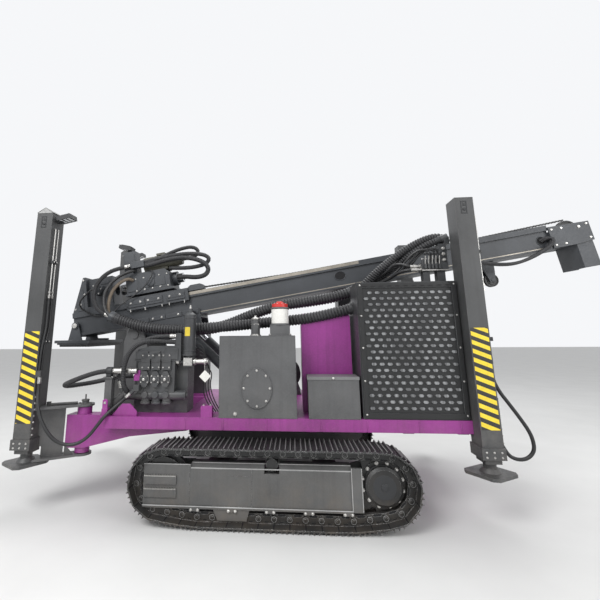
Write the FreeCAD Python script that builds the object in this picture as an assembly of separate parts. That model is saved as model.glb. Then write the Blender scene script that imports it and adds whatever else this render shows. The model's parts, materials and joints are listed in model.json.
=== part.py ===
import FreeCAD, Part
import math
import os
from FreeCAD import Placement, Rotation, Vector

os.makedirs("parts", exist_ok=True)

# All lengths are in millimetres. X runs from the drilling end (minus) to the crown end of
# the parked mast, Y from the left side (minus) to the right side, Z up from the ground.

# Chassis
BEAM_OUTER_Y = 961.0
BEAM_WIDTH = 100.0
BEAM_BOTTOM_Z = 750.0
DECK_BOTTOM_Z = 854.0
DECK_TOP_Z = 862.0
BEAM_FRONT_X = -2192.0
CHASSIS_REAR_X = 1226.0
FRAME_FRONT_X = -2240.0
DECK_FRONT_X = -1480.0
SIDE_DECK_INNER_Y = 440.0
LONGERON_INNER_Y = 290.0
LONGERON_OUTER_Y = 420.0
LONGERON_BOTTOM_Z = 705.0
ARM_INNER_Y = 700.0
ARM_OUTER_Y = 861.0
ARM_NOSE = 140.0
ARM_HEEL = 50.0
ARM_BOTTOM_Z = 545.0

# Swing arms of the front jacks
HINGE_X = -2500.0
HINGE_Y = 781.0
HINGE_PIN_R = 32.0
RUNNING_GAP = 0.06
SLIDE_GAP = 0.3
KNUCKLE_R = 70.0
KNUCKLE_BOTTOM_Z = 493.0
KNUCKLE_TOP_Z = 921.0
ARM_PLATE_TOP_Z = 950.0
ARM_PLATE_T = 20.0
ARM_PLATE_BOTTOM_Z = 468.0
ARM_PLATE_R = 90.0
WEB_START_R = 176.0
WEB_T = 30.0

# Jacks
FRONT_JACK_REACH = 437.0
FRONT_JACK_X = HINGE_X - FRONT_JACK_REACH
REAR_JACK_REACH = 86.0
REAR_JACK_X = CHASSIS_REAR_X + REAR_JACK_REACH
CROSSBAR_HALF = 72.0
CROSSBAR_TOP_Z = 850.0
JACK_Y = 995.0
TUBE_X = 170.0
TUBE_Y = 204.0
TUBE_WALL = 12.0
TUBE_BOTTOM_Z = 579.0
TUBE_TOP_Z = 2915.0
CAP_T = 12.0
GABLE_H = 55.0
COLLAR_TOP_Z = 672.0
COLLAR_T = 12.0
LEG_CLEAR = 5.0
PAD_TOP_Z = 700.0
LEG_TOP_Z = 2050.0
LEG_BOTTOM_Z = 540.0
FOOT_NECK_R = 52.0
FOOT_BALL_R = 70.0
FOOT_TOP_Z = 462.0
FOOT_BOTTOM_Z = 437.0
FOOT_SIDE = 320.0
FOOT_TURN = 32.0

# Tracks
TRACK_MID_Y = 1013.0
SHOE_WIDTH = 350.0
LINK_COUNT = 40
LINK_INNER = 38.0
LINK_OUTER = 40.0
SHOE_T = 12.0
RIB_H = 22.0
STRIP_INNER = 32.0
STRIP_OUTER = 75.0
WHEEL_R = 241.0
WHEEL_Z = 352.0
SPROCKET_X = 390.0
IDLER_X = -1548.0
ROLLER_R = 70.0
LINK_CUT = 8.0
LOWER_R = ROLLER_R + LINK_INNER + LINK_CUT
ROLLER_Z = LOWER_R + LINK_OUTER + SHOE_T + RIB_H
ROLLER_X = (-1251.0, -918.5, -586.0, -253.5, 79.0)
SPROCKET_TEETH = 11
SPROCKET_ROOT_R = 205.0
SPROCKET_TIP_R = 258.0
SPROCKET_T = 44.0
HUB_R = 158.0
CARRIER_X = -568.0
CARRIER_R = 52.0
CARRIER_SEAT_Z = 430.0

# Track side frames
SIDE_OUTER_Y = 1104.0
SIDE_INNER_Y = 922.0
SIDE_WALL = 14.0
SIDE_BOTTOM_Z = 160.0
SIDE_TOP_Z = 465.0
SIDE_RIDGE_Z = 500.0
SIDE_FRONT_X = -1722.0
SIDE_REAR_X = 120.0
SIDE_BAY_TOP_Z = 275.0
FORK_REAR_X = -1295.0

# Deck units
TANK = (-1072.0, -334.0, -961.0, -480.0, 1618.0)
FUEL = (-267.0, 242.0, -640.0, -200.0, 1850.0)
TOOL = (-223.0, 250.0, -961.0, -690.0, 1208.0)
LID_T = 27.0
LID_GAP = 0.3
LID_PIN_Y = TOOL[3] + 10.0
LID_PIN_Z = TOOL[4] + 10.0
LID_PIN_R = 4.0
LID_KNUCKLE_R = 9.0
LID_KNUCKLE = 34.0
LID_HINGES = (0.12, 0.43, 0.74)
HOOD_X0 = 275.0
HOOD_X1 = 1217.0
HOOD_SIDE_Y = 953.0
HOOD_POD_Y = 560.0
HOOD_POD_Z = 2126.0
HOOD_MID_Z = 1900.0
HOOD_SKIN = 8.0
GUARD_SLATS = 13
GUARD_Z0 = 940.0
GUARD_PITCH = 66.0
GUARD_HALF = 420.0
VALVE_LEVERS = 5
GRILLE_T = 8.0
LOUVRE_COLUMNS = 11
LOUVRE_ROWS = 20
LOUVRE_WIDTH = 62.0
LOUVRE_HEIGHT = 33.0
LOUVRE_DEPTH = 11.0
SADDLE = (350.0, 2110.0)
SADDLE_TURN = 20.0
SADDLE_POST = (6.0, 34.0)
SADDLE_DROP = 50.0

# Mast line: a frame of its own, s along the mast and n square to it
MAST_TILT = 9.5
MAST_Z0 = 2128.0
BEAM_S0 = -3086.0
BEAM_S1 = 2700.0
CROWN_S1 = 3155.0
MAST_HALF = 180.0
WEB_HALF = 156.0
WEB_PLATE = 12.0
FLANGE_N = 35.0
RAIL_N0 = 227.0
RAIL_N1 = 290.0
RAIL_INNER = 110.0
PIVOT_S = -2250.0
PIVOT_N = -118.0
PIVOT_R = 45.0
CRADLE_S0 = -2340.0
CRADLE_S1 = -1480.0
CRADLE_IN = 186.0
CRADLE_OUT = 206.0
BOSS_OUT = 288.0
EYE_BOSS_OUT = 284.0
CARRIAGE_TOP_N = 396.0
TOWER_IN = 300.0
TOWER_OUT = 345.0
FOOT_PIN_S = -3042.0
FOOT_PIN_N = 130.0
FOOT_PIN_R = 26.0
FOOT_PIN_END = 222.0
FOOT_PLATE_BACK = 95.0
FOOT_PLATE_AHEAD = 322.0
FOOT_PLATE_DROP = 174.0

# Tilt cylinders
CYL_Y = 318.0
CYL_BASE_X = -760.0
CYL_BASE_Z = 930.0
CYL_EYE_S = -1650.0
CYL_EYE_N = -180.0
BARREL_R = 55.0
BARREL_START = 95.0
BARREL_END = 970.0
EYE_HALF = 26.0
EYE_R = 50.0
BASE_PIN_R = 24.0
LUG_GAP = 4.0
LUG_T = 18.0
ROD_R = 30.0

# Hoses: radii, and the points and outward lines of their ports
BUNDLE_R = 55.0
BUNDLE_Y = -420.0
GLAND_R = 62.0
GLAND_T = 50.0
FEED_HOSE_R = 24.0
PUMP_HOSE_R = 19.0
RETURN_HOSE_R = 22.0
JACK_HOSE_R = 16.0
HOOD_HOSE_R = 35.0
PUMP_PORT = (-1560.0, -800.0, 1622.0)
PUMP_DRAIN = (-2118.0, -800.0, 1110.0)
PUMP_DRAIN_AXIS = (0.32, 0.0, -0.95)
RETURN_PORT = (-2170.0, -850.0, 1278.0)
RETURN_END_Y = -612.0
RETURN_END_Z = 1206.0
JACK_PORT = (-1978.0, -890.0, 1068.0)
JACK_PORT_AXIS = (0.75, 0.0, 0.66)
FRONT_HOSE_TOP = (FRONT_JACK_X + TUBE_X / 2.0 + 22.0, -JACK_Y - 80.0, 1240.0)
REAR_HOSE_TOP = (REAR_JACK_X + TUBE_X / 2.0 + 43.0, -JACK_Y + 45.0, 1360.0)
REAR_HOSE_END = (REAR_JACK_X + CROSSBAR_HALF + 70.0, -JACK_Y + 128.0, 748.0)
REAR_HOSE_AXIS = (-0.342, 0.0, 0.94)
VALVE_PORT = (1178.0, -800.0, HOOD_POD_Z + 449.0)
VALVE_AXIS = (0.9, -0.3, 0.3)


def box(x0, x1, y0, y1, z0, z1):
    """Box between two corners."""
    return Part.makeBox(x1 - x0, y1 - y0, z1 - z0, Vector(x0, y0, z0))


def rod(base, axis, radius, length):
    """Round bar from a base point along an axis."""
    return Part.makeCylinder(radius, length, Vector(*base), Vector(*axis))


def slab_xz(points, y0, y1):
    """Flat piece: an outline in X and Z, thick along Y."""
    wire = Part.makePolygon([Vector(x, y0, z) for x, z in points + points[:1]])
    return Part.Face(wire).extrude(Vector(0, y1 - y0, 0))


def slab_xy(points, z0, z1):
    """Flat piece: an outline in X and Y, thick along Z."""
    wire = Part.makePolygon([Vector(x, y, z0) for x, y in points + points[:1]])
    return Part.Face(wire).extrude(Vector(0, 0, z1 - z0))


def slab_yz(points, x0, x1):
    """Flat piece: an outline in Y and Z, thick along X."""
    wire = Part.makePolygon([Vector(x0, y, z) for y, z in points + points[:1]])
    return Part.Face(wire).extrude(Vector(x1 - x0, 0, 0))


def fuse(pieces):
    """One solid from pieces that meet."""
    body = pieces[0]
    if len(pieces) > 1:
        body = body.multiFuse(pieces[1:])
    return body.removeSplitter()


def mirrored(shape):
    """Copy on the other side of the centre plane."""
    return shape.mirror(Vector(0, 0, 0), Vector(0, 1, 0))


def both_sides(shape):
    """A shape and its mirrored copy as one group."""
    return Part.makeCompound([shape, mirrored(shape)])


MAST_PLACE = Placement(Vector(0, 0, MAST_Z0), Rotation(Vector(0, 1, 0), -MAST_TILT))


def on_mast(shape):
    """Move a shape drawn in mast axes (s, y, n) to its parked place."""
    moved = shape.copy()
    moved.Placement = MAST_PLACE.multiply(moved.Placement)
    return moved


def mast_point(s, n):
    """World X and Z of a point given in mast axes."""
    point = MAST_PLACE.multVec(Vector(s, 0, n))
    return point.x, point.z


def ahead(point, turn, reach):
    """Point a reach away from another along a line turned up from X."""
    angle = math.radians(turn)
    x, y, z = point
    return (x + reach * math.cos(angle), y, z + reach * math.sin(angle))


def beside(point, axis, reach):
    """Point a reach away from another along an axis."""
    moved = Vector(*point) + Vector(*axis).normalize() * reach
    return (moved.x, moved.y, moved.z)


def gland(point, turn):
    """Hose gland: a short round block round a point, its axis turned up from X."""
    angle = math.radians(turn)
    start = ahead(point, turn, -GLAND_T / 2.0)
    return rod(start, (math.cos(angle), 0.0, math.sin(angle)), GLAND_R, GLAND_T)


def hose(name, route, radius):
    """Tube along straight runs joined by tangent arcs, its section drawn once at its start."""
    points = [Vector(*point) for point in route]
    edges = []
    start = points[0]
    radii = []
    for i in range(1, len(points) - 1):
        before, after = points[i] - points[i - 1], points[i + 1] - points[i]
        shorter = min(before.Length, after.Length)
        turn = before.getAngle(after)
        bend = 0.45 * shorter / math.tan(turn / 2.0)
        radii.append(bend)
        back = 0.45 * shorter
        one = points[i] - before * (back / before.Length)
        two = points[i] + after * (back / after.Length)
        inward = after.normalize() - before.normalize()
        middle = points[i] + inward * ((bend / math.cos(turn / 2.0) - bend) / inward.Length)
        edges.append(Part.makeLine(start, one))
        edges.append(Part.Arc(one, middle, two).toShape())
        start = two
    edges.append(Part.makeLine(start, points[-1]))
    path = Part.Wire(edges)
    section = Part.Face(Part.Wire(Part.makeCircle(radius, points[0], points[1] - points[0])))
    tube = path.makePipe(section)
    full = math.pi * radius * radius * path.Length
    print("%-18s length %.0f  radii %s  volume share %.4f" % (
        name, path.Length, " ".join("%.0f" % r for r in radii), tube.Volume / full))
    save(name, tube)


def save(name, shape):
    """Write one piece."""
    if not shape.isValid():
        print("not valid:", name)
    bounds = shape.BoundBox
    print("%-22s solids %d  x %.0f..%.0f  y %.0f..%.0f  z %.0f..%.0f" % (
        name, len(shape.Solids), bounds.XMin, bounds.XMax,
        bounds.YMin, bounds.YMax, bounds.ZMin, bounds.ZMax))
    shape.exportStep("parts/%s.step" % name)


# Chassis frame

def chassis_frame():
    """Side beams, longerons, cross members, deck and the deep front arms."""
    parts = []
    arm = [(HINGE_X - ARM_NOSE, ARM_BOTTOM_Z), (HINGE_X - ARM_NOSE, DECK_BOTTOM_Z),
           (-1400.0, DECK_BOTTOM_Z), (-1400.0, 720.0), (-1978.0, 659.0),
           (HINGE_X + ARM_HEEL, ARM_BOTTOM_Z)]
    for side in (-1.0, 1.0):
        lo, hi = sorted((side * (BEAM_OUTER_Y - BEAM_WIDTH), side * BEAM_OUTER_Y))
        parts.append(box(BEAM_FRONT_X, CHASSIS_REAR_X, lo, hi, BEAM_BOTTOM_Z, DECK_BOTTOM_Z))
        lo, hi = sorted((side * LONGERON_INNER_Y, side * LONGERON_OUTER_Y))
        parts.append(box(FRAME_FRONT_X, 1140.0, lo, hi, LONGERON_BOTTOM_Z, DECK_BOTTOM_Z))
        lo, hi = sorted((side * ARM_INNER_Y, side * ARM_OUTER_Y))
        parts.append(slab_xz(arm, lo, hi))
        lo, hi = sorted((side * SIDE_DECK_INNER_Y, side * BEAM_OUTER_Y))
        parts.append(box(FRAME_FRONT_X, DECK_FRONT_X + 5.0, lo, hi, DECK_BOTTOM_Z, DECK_TOP_Z))
        parts.append(rod((HINGE_X, side * HINGE_Y, KNUCKLE_BOTTOM_Z), (0, 0, 1), KNUCKLE_R,
                         KNUCKLE_TOP_Z - KNUCKLE_BOTTOM_Z))
        for lug in (CYL_Y - EYE_HALF - LUG_GAP - LUG_T, CYL_Y + EYE_HALF + LUG_GAP):
            lo, hi = sorted((side * lug, side * (lug + LUG_T)))
            parts.append(slab_xz([(CYL_BASE_X - 70.0, DECK_BOTTOM_Z),
                                  (CYL_BASE_X - 40.0, CYL_BASE_Z + 40.0),
                                  (CYL_BASE_X + 40.0, CYL_BASE_Z + 40.0),
                                  (CYL_BASE_X + 70.0, DECK_BOTTOM_Z)], lo, hi))
        half = EYE_HALF + LUG_GAP + LUG_T
        parts.append(rod((CYL_BASE_X, side * CYL_Y - half, CYL_BASE_Z), (0, 1, 0), BASE_PIN_R,
                         2.0 * half))
    parts.append(box(DECK_FRONT_X, CHASSIS_REAR_X, -BEAM_OUTER_Y, BEAM_OUTER_Y,
                     DECK_BOTTOM_Z, DECK_TOP_Z))
    inner = BEAM_OUTER_Y - BEAM_WIDTH
    for x0, x1 in ((FRAME_FRONT_X, -2150.0), (-1300.0, -1200.0), (-250.0, -150.0),
                   (640.0, 740.0), (1130.0, CHASSIS_REAR_X)):
        parts.append(box(x0, x1, -inner, inner, 722.0, DECK_BOTTOM_Z))
    bar_x0 = REAR_JACK_X - CROSSBAR_HALF
    parts.append(box(bar_x0, REAR_JACK_X + CROSSBAR_HALF, -(JACK_Y - TUBE_Y / 2.0),
                     JACK_Y - TUBE_Y / 2.0, 722.0, CROSSBAR_TOP_Z))
    parts.append(box(CHASSIS_REAR_X - 5.0, bar_x0 + 5.0, -600.0, 600.0, 730.0, 840.0))
    x, y, z = REAR_HOSE_END
    parts.append(rod(REAR_HOSE_END, REAR_HOSE_AXIS, JACK_HOSE_R + 5.0, 90.0))
    parts.append(box(x - 80.0, x + 12.0, y - 21.0, y + 21.0, z + 62.0, z + 116.0))
    body = fuse(parts)
    for side in (-1.0, 1.0):
        body = body.cut(rod((HINGE_X, side * HINGE_Y, 400.0), (0, 0, 1),
                            HINGE_PIN_R + RUNNING_GAP, 700.0))
    return body


save("chassis_frame", chassis_frame())


# Undercarriage: cross frame, side frames, wheels and track loops

def cross_frame():
    """Two cross beams and the pedestal that carries the chassis."""
    parts = []
    for x0, x1 in ((-1200.0, -1000.0), (-180.0, 20.0)):
        parts.append(box(x0, x1, -SIDE_INNER_Y, SIDE_INNER_Y, 285.0, 445.0))
    parts.append(box(-1250.0, 70.0, -LONGERON_OUTER_Y, LONGERON_OUTER_Y, 400.0,
                     LONGERON_BOTTOM_Z))
    return fuse(parts)


save("cross_frame", cross_frame())


def side_frame():
    """Left track frame: a roof over the rollers, open like a fork at the front wheel."""
    out, inn = -SIDE_OUTER_Y, -SIDE_INNER_Y
    roof = [(out, SIDE_BOTTOM_Z), (out, SIDE_TOP_Z), (out + 42.0, SIDE_RIDGE_Z),
            (inn - 42.0, SIDE_RIDGE_Z), (inn, SIDE_TOP_Z), (inn, SIDE_BOTTOM_Z),
            (inn - SIDE_WALL, SIDE_BOTTOM_Z), (inn - SIDE_WALL, SIDE_BAY_TOP_Z),
            (out + SIDE_WALL, SIDE_BAY_TOP_Z), (out + SIDE_WALL, SIDE_BOTTOM_Z)]
    parts = [slab_yz(roof, FORK_REAR_X, SIDE_REAR_X)]
    cheek = [(SIDE_FRONT_X, SIDE_BOTTOM_Z), (SIDE_FRONT_X, SIDE_TOP_Z + 30.0),
             (FORK_REAR_X + 5.0, SIDE_TOP_Z + 30.0), (FORK_REAR_X + 5.0, SIDE_BOTTOM_Z)]
    parts.append(slab_xz(cheek, out, out + SIDE_WALL))
    parts.append(slab_xz(cheek, inn - SIDE_WALL, inn))
    parts.append(box(SIDE_FRONT_X, SIDE_REAR_X, out - 12.0, out + 2.0,
                     SIDE_BOTTOM_Z - 18.0, SIDE_BOTTOM_Z))
    parts.append(box(SIDE_FRONT_X, SIDE_REAR_X, out, out + SIDE_WALL,
                     SIDE_BOTTOM_Z - 18.0, SIDE_BOTTOM_Z + 2.0))
    tail = [(SIDE_REAR_X - 5.0, 150.0), (SIDE_REAR_X - 5.0, 495.0), (205.0, 495.0),
            (205.0, 150.0)]
    parts.append(slab_xz(tail, out - 10.0, out + SIDE_WALL))
    bracket = [(SIDE_REAR_X - 5.0, 200.0), (SIDE_REAR_X - 5.0, 480.0), (330.0, 535.0),
               (470.0, 535.0), (560.0, 430.0), (560.0, 270.0), (470.0, 180.0)]
    parts.append(slab_xz(bracket, inn - SIDE_WALL, inn))
    guard = [(-1100.0, 165.0), (-1045.0, 52.0), (-792.0, 52.0), (-758.0, 165.0)]
    parts.append(slab_xz(guard, out - 2.0, out + SIDE_WALL))
    for x in ROLLER_X:
        parts.append(box(x - 46.0, x + 46.0, out - 12.0, out + 10.0, SIDE_BOTTOM_Z - 38.0,
                         SIDE_BOTTOM_Z - 17.0))
    body = fuse(parts)
    body = body.cut(box(CARRIER_X - 66.0, CARRIER_X + 66.0, out - 1.0, inn + 1.0,
                        CARRIER_SEAT_Z, SIDE_RIDGE_Z + 1.0))
    pads = []
    for z0 in (225.0, 330.0):
        pads.append(box(-1712.0, -1420.0, out - 14.0, out + 2.0, z0, z0 + 68.0))
    return fuse([body] + pads)


LEFT_SIDE_FRAME = side_frame()
save("track_frames", both_sides(LEFT_SIDE_FRAME))


def hull_path(circles):
    """Tangent lines and arcs round an anticlockwise ring of circles (x, z, r)."""
    count = len(circles)
    normals = []
    for i in range(count):
        ax, az, ar = circles[i]
        bx, bz, br = circles[(i + 1) % count]
        length = math.hypot(bx - ax, bz - az)
        dx, dz = (bx - ax) / length, (bz - az) / length
        a = (ar - br) / length
        b = math.sqrt(1.0 - a * a)
        normals.append((a * dx + b * dz, a * dz - b * dx))
    runs = []
    for i in range(count):
        cx, cz, cr = circles[i]
        n0, n1 = normals[i - 1], normals[i]
        a0 = math.atan2(n0[1], n0[0])
        a1 = math.atan2(n1[1], n1[0])
        while a1 < a0:
            a1 += 2.0 * math.pi
        runs.append(("arc", cx, cz, cr, a0, a1))
        nx, nz = circles[(i + 1) % count][:2]
        nr = circles[(i + 1) % count][2]
        runs.append(("line", cx + cr * n1[0], cz + cr * n1[1],
                     nx + nr * n1[0], nz + nr * n1[1]))
    return runs


def run_length(run):
    """Length of one run of a path."""
    if run[0] == "arc":
        return run[3] * (run[5] - run[4])
    return math.hypot(run[3] - run[1], run[4] - run[2])


def path_point(runs, distance):
    """Point on a path, a distance from its start."""
    for run in runs:
        length = run_length(run)
        if distance <= length:
            part = distance / length
            if run[0] == "arc":
                angle = run[4] + part * (run[5] - run[4])
                return (run[1] + run[3] * math.cos(angle), run[2] + run[3] * math.sin(angle))
            return (run[1] + part * (run[3] - run[1]), run[2] + part * (run[4] - run[2]))
        distance -= length
    run = runs[-1]
    return (run[3], run[4])


TRACK_PATH = hull_path([(IDLER_X, WHEEL_Z, WHEEL_R), (ROLLER_X[0], ROLLER_Z, LOWER_R),
                        (ROLLER_X[-1], ROLLER_Z, LOWER_R), (SPROCKET_X, WHEEL_Z, WHEEL_R)])
LOOP_LENGTH = sum(run_length(run) for run in TRACK_PATH)
LINK_PITCH = LOOP_LENGTH / LINK_COUNT
PINS = [path_point(TRACK_PATH, i * LINK_PITCH) for i in range(LINK_COUNT)]
print("link pitch %.1f" % LINK_PITCH)


def link_axes(i):
    """Pin point, direction and outward normal of one link."""
    ax, az = PINS[i]
    bx, bz = PINS[(i + 1) % LINK_COUNT]
    length = math.hypot(bx - ax, bz - az)
    dx, dz = (bx - ax) / length, (bz - az) / length
    return ax, az, dx, dz, dz, -dx, length


def offset_ring(offset):
    """Closed outline through the pins, moved outward by an offset."""
    points = []
    for i in range(LINK_COUNT):
        ax, az, dx, dz, nx, nz, length = link_axes(i)
        px, pz, ex, ez, mx, mz, plen = link_axes(i - 1)
        sx, sz = nx + mx, nz + mz
        scale = offset / (1.0 + nx * mx + nz * mz)
        points.append((ax + sx * scale, az + sz * scale))
    return points


RIBS = (0.14, 0.45, 0.76)
RIB_FOOT = 9.0
SHOE_GAP = 2.0


def shoe_ring():
    """Outer outline of the shoes with their three ribs each."""
    points = []
    for i in range(LINK_COUNT):
        ax, az, dx, dz, nx, nz, length = link_axes(i)
        face = LINK_OUTER + SHOE_T

        def at(along, out):
            return (ax + dx * along + nx * out, az + dz * along + nz * out)

        points.append(at(SHOE_GAP, face))
        for part in RIBS:
            mid = part * length + 6.0
            points.append(at(mid - RIB_FOOT, face))
            points.append(at(mid, face + RIB_H))
            points.append(at(mid + RIB_FOOT, face))
        points.append(at(length - SHOE_GAP, face))
    return points


def ring_slab(outer, inner, y0, y1):
    """Band between two closed outlines in X and Z, thick along Y."""
    wires = []
    for points in (outer, inner):
        wires.append(Part.makePolygon([Vector(x, y0, z) for x, z in points + points[:1]]))
    face = Part.Face(wires[0]).cut(Part.Face(wires[1]))
    return face.extrude(Vector(0, y1 - y0, 0))


def track_loop():
    """Left track: shoes on two rows of links."""
    mid = -TRACK_MID_Y
    shoes = ring_slab(shoe_ring(), offset_ring(LINK_OUTER), mid - SHOE_WIDTH / 2.0,
                      mid + SHOE_WIDTH / 2.0)
    rows = []
    for side in (-1.0, 1.0):
        lo, hi = sorted((mid + side * STRIP_INNER, mid + side * STRIP_OUTER))
        rows.append(ring_slab(offset_ring(LINK_OUTER + 1.0), offset_ring(-LINK_INNER), lo, hi))
    return shoes.multiFuse(rows)


LEFT_TRACK = track_loop()
save("track_left", LEFT_TRACK)
save("track_right", mirrored(LEFT_TRACK))


def sprocket():
    """Left drive sprocket with its final drive hub."""
    points = []
    for i in range(SPROCKET_TEETH):
        mid = 2.0 * math.pi * i / SPROCKET_TEETH
        for turn, radius in ((-0.20, SPROCKET_ROOT_R), (-0.07, SPROCKET_TIP_R),
                             (0.07, SPROCKET_TIP_R), (0.20, SPROCKET_ROOT_R)):
            points.append((SPROCKET_X + radius * math.cos(mid + turn),
                           WHEEL_Z + radius * math.sin(mid + turn)))
    mid_y = -TRACK_MID_Y
    half = SPROCKET_T / 2.0
    disc = slab_xz(points, mid_y - half, mid_y + half)
    ring = rod((SPROCKET_X, mid_y - half - 14.0, WHEEL_Z), (0, 1, 0), 190.0, 15.0)
    hub = rod((SPROCKET_X, mid_y - 92.0, WHEEL_Z), (0, 1, 0), HUB_R, 75.0)
    nose = Part.makeCone(HUB_R, HUB_R - 22.0, 14.0, Vector(SPROCKET_X, mid_y - 92.0, WHEEL_Z),
                         Vector(0, -1, 0))
    drum = rod((SPROCKET_X, mid_y + half - 1.0, WHEEL_Z), (0, 1, 0), 150.0,
               TRACK_MID_Y - half - SIDE_INNER_Y - SIDE_WALL + 1.0)
    return fuse([disc, ring, hub, nose, drum])


save("drive_sprockets", both_sides(sprocket()))


def idler():
    """Left front wheel with a middle flange between the link rows."""
    mid_y = -TRACK_MID_Y
    rim_r = WHEEL_R * math.cos(math.asin(LINK_PITCH / 2.0 / WHEEL_R)) - LINK_INNER - 1.0
    rim = rod((IDLER_X, mid_y - 68.0, WHEEL_Z), (0, 1, 0), rim_r, 136.0)
    flange = rod((IDLER_X, mid_y - 27.0, WHEEL_Z), (0, 1, 0), rim_r + 34.0, 54.0)
    axle = rod((IDLER_X, -SIDE_OUTER_Y + SIDE_WALL, WHEEL_Z), (0, 1, 0), 60.0,
               SIDE_OUTER_Y - SIDE_INNER_Y - 2.0 * SIDE_WALL)
    return fuse([rim, flange, axle])


save("idlers", both_sides(idler()))


def rollers():
    """Left bottom rollers on their axles, and the carrier roller on top."""
    solids = []
    bay = SIDE_OUTER_Y - SIDE_INNER_Y - 2.0 * SIDE_WALL
    for x in ROLLER_X:
        wheel = rod((x, -TRACK_MID_Y - 66.0, ROLLER_Z), (0, 1, 0), ROLLER_R, 132.0)
        axle = rod((x, -SIDE_OUTER_Y + SIDE_WALL, ROLLER_Z), (0, 1, 0), 24.0, bay)
        solids.append(fuse([wheel, axle]))
    top = WHEEL_Z + WHEEL_R - LINK_INNER - 4.0
    wheel = rod((CARRIER_X, -TRACK_MID_Y - 72.0, top - CARRIER_R), (0, 1, 0), CARRIER_R, 144.0)
    post = box(CARRIER_X - 30.0, CARRIER_X + 30.0, -TRACK_MID_Y - 40.0, -TRACK_MID_Y + 40.0,
               CARRIER_SEAT_Z, top - CARRIER_R)
    solids.append(fuse([wheel, post]))
    return solids


LEFT_ROLLERS = rollers()
save("track_rollers", Part.makeCompound(LEFT_ROLLERS + [mirrored(s) for s in LEFT_ROLLERS]))


# Jacks

def tube_profile(x, y, half_x, half_y, z0, z1):
    """Square bar round a vertical line."""
    return box(x - half_x, x + half_x, y - half_y, y + half_y, z0, z1)


def jack_tube(x, y):
    """Hollow jack tube with a closed top, a collar and guide pads at its mouth."""
    hx, hy = TUBE_X / 2.0, TUBE_Y / 2.0
    outer = tube_profile(x, y, hx, hy, TUBE_BOTTOM_Z, TUBE_TOP_Z)
    collar = tube_profile(x, y, hx + COLLAR_T, hy + COLLAR_T, TUBE_BOTTOM_Z, COLLAR_TOP_Z)
    hollow = tube_profile(x, y, hx - TUBE_WALL, hy - TUBE_WALL, TUBE_BOTTOM_Z - 1.0,
                          TUBE_TOP_Z - CAP_T)
    tube = outer.fuse(collar).cut(hollow)
    pad = tube_profile(x, y, hx - TUBE_WALL, hy - TUBE_WALL, TUBE_BOTTOM_Z, PAD_TOP_Z)
    inset = TUBE_WALL + LEG_CLEAR - SLIDE_GAP
    mouth = tube_profile(x, y, hx - inset, hy - inset, TUBE_BOTTOM_Z - 1.0, PAD_TOP_Z + 1.0)
    return tube.fuse(pad.cut(mouth)).removeSplitter()


def jack_leg(x, y, side):
    """Sliding leg with its neck, ball seat and foot plate turned round the leg."""
    hx = TUBE_X / 2.0 - TUBE_WALL - LEG_CLEAR
    hy = TUBE_Y / 2.0 - TUBE_WALL - LEG_CLEAR
    leg = tube_profile(x, y, hx, hy, LEG_BOTTOM_Z, LEG_TOP_Z)
    neck = rod((x, y, FOOT_TOP_Z - 1.0), (0, 0, 1), FOOT_NECK_R, LEG_BOTTOM_Z - FOOT_TOP_Z + 2.0)
    seat = Part.makeCone(FOOT_BALL_R + 18.0, FOOT_BALL_R - 8.0, 34.0, Vector(x, y, FOOT_TOP_Z - 1.0))
    half = FOOT_SIDE / 2.0
    cut = 40.0
    outline = [(-half + cut, -half), (half - cut, -half), (half, -half + cut),
               (half, half - cut), (half - cut, half), (-half + cut, half),
               (-half, half - cut), (-half, -half + cut)]
    plate = slab_xy(outline, FOOT_BOTTOM_Z, FOOT_TOP_Z)
    turn = side * FOOT_TURN
    plate.Placement = Placement(Vector(x, y, 0), Rotation(Vector(0, 0, 1), turn))
    return fuse([leg, neck, seat, plate])


def with_fitting(tube, x_face, top):
    """Tube with the block its hose hangs from."""
    x, y, z = top
    return fuse([tube, box(x_face - 1.0, x + 20.0, y - 20.0, y + 20.0, z, z + 60.0)])


REAR_TUBE = with_fitting(jack_tube(REAR_JACK_X, -JACK_Y), REAR_JACK_X + TUBE_X / 2.0,
                         REAR_HOSE_TOP)
save("rear_jack_tubes", both_sides(REAR_TUBE))
GABLE = slab_xz([(FRONT_JACK_X - TUBE_X / 2.0, TUBE_TOP_Z), (FRONT_JACK_X, TUBE_TOP_Z + GABLE_H),
                 (FRONT_JACK_X + TUBE_X / 2.0, TUBE_TOP_Z)],
                -JACK_Y - TUBE_Y / 2.0, -JACK_Y + TUBE_Y / 2.0)
LEFT_FRONT_TUBE = with_fitting(jack_tube(FRONT_JACK_X, -JACK_Y).fuse(GABLE),
                               FRONT_JACK_X + TUBE_X / 2.0, FRONT_HOSE_TOP)
save("front_tube_left", LEFT_FRONT_TUBE)
save("front_tube_right", mirrored(LEFT_FRONT_TUBE))
for end, jack_x in (("front", FRONT_JACK_X), ("rear", REAR_JACK_X)):
    LEFT_LEG = jack_leg(jack_x, -JACK_Y, 1.0 if end == "rear" else -1.0)
    save("jack_leg_%s_left" % end, LEFT_LEG)
    save("jack_leg_%s_right" % end, mirrored(LEFT_LEG))


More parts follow.
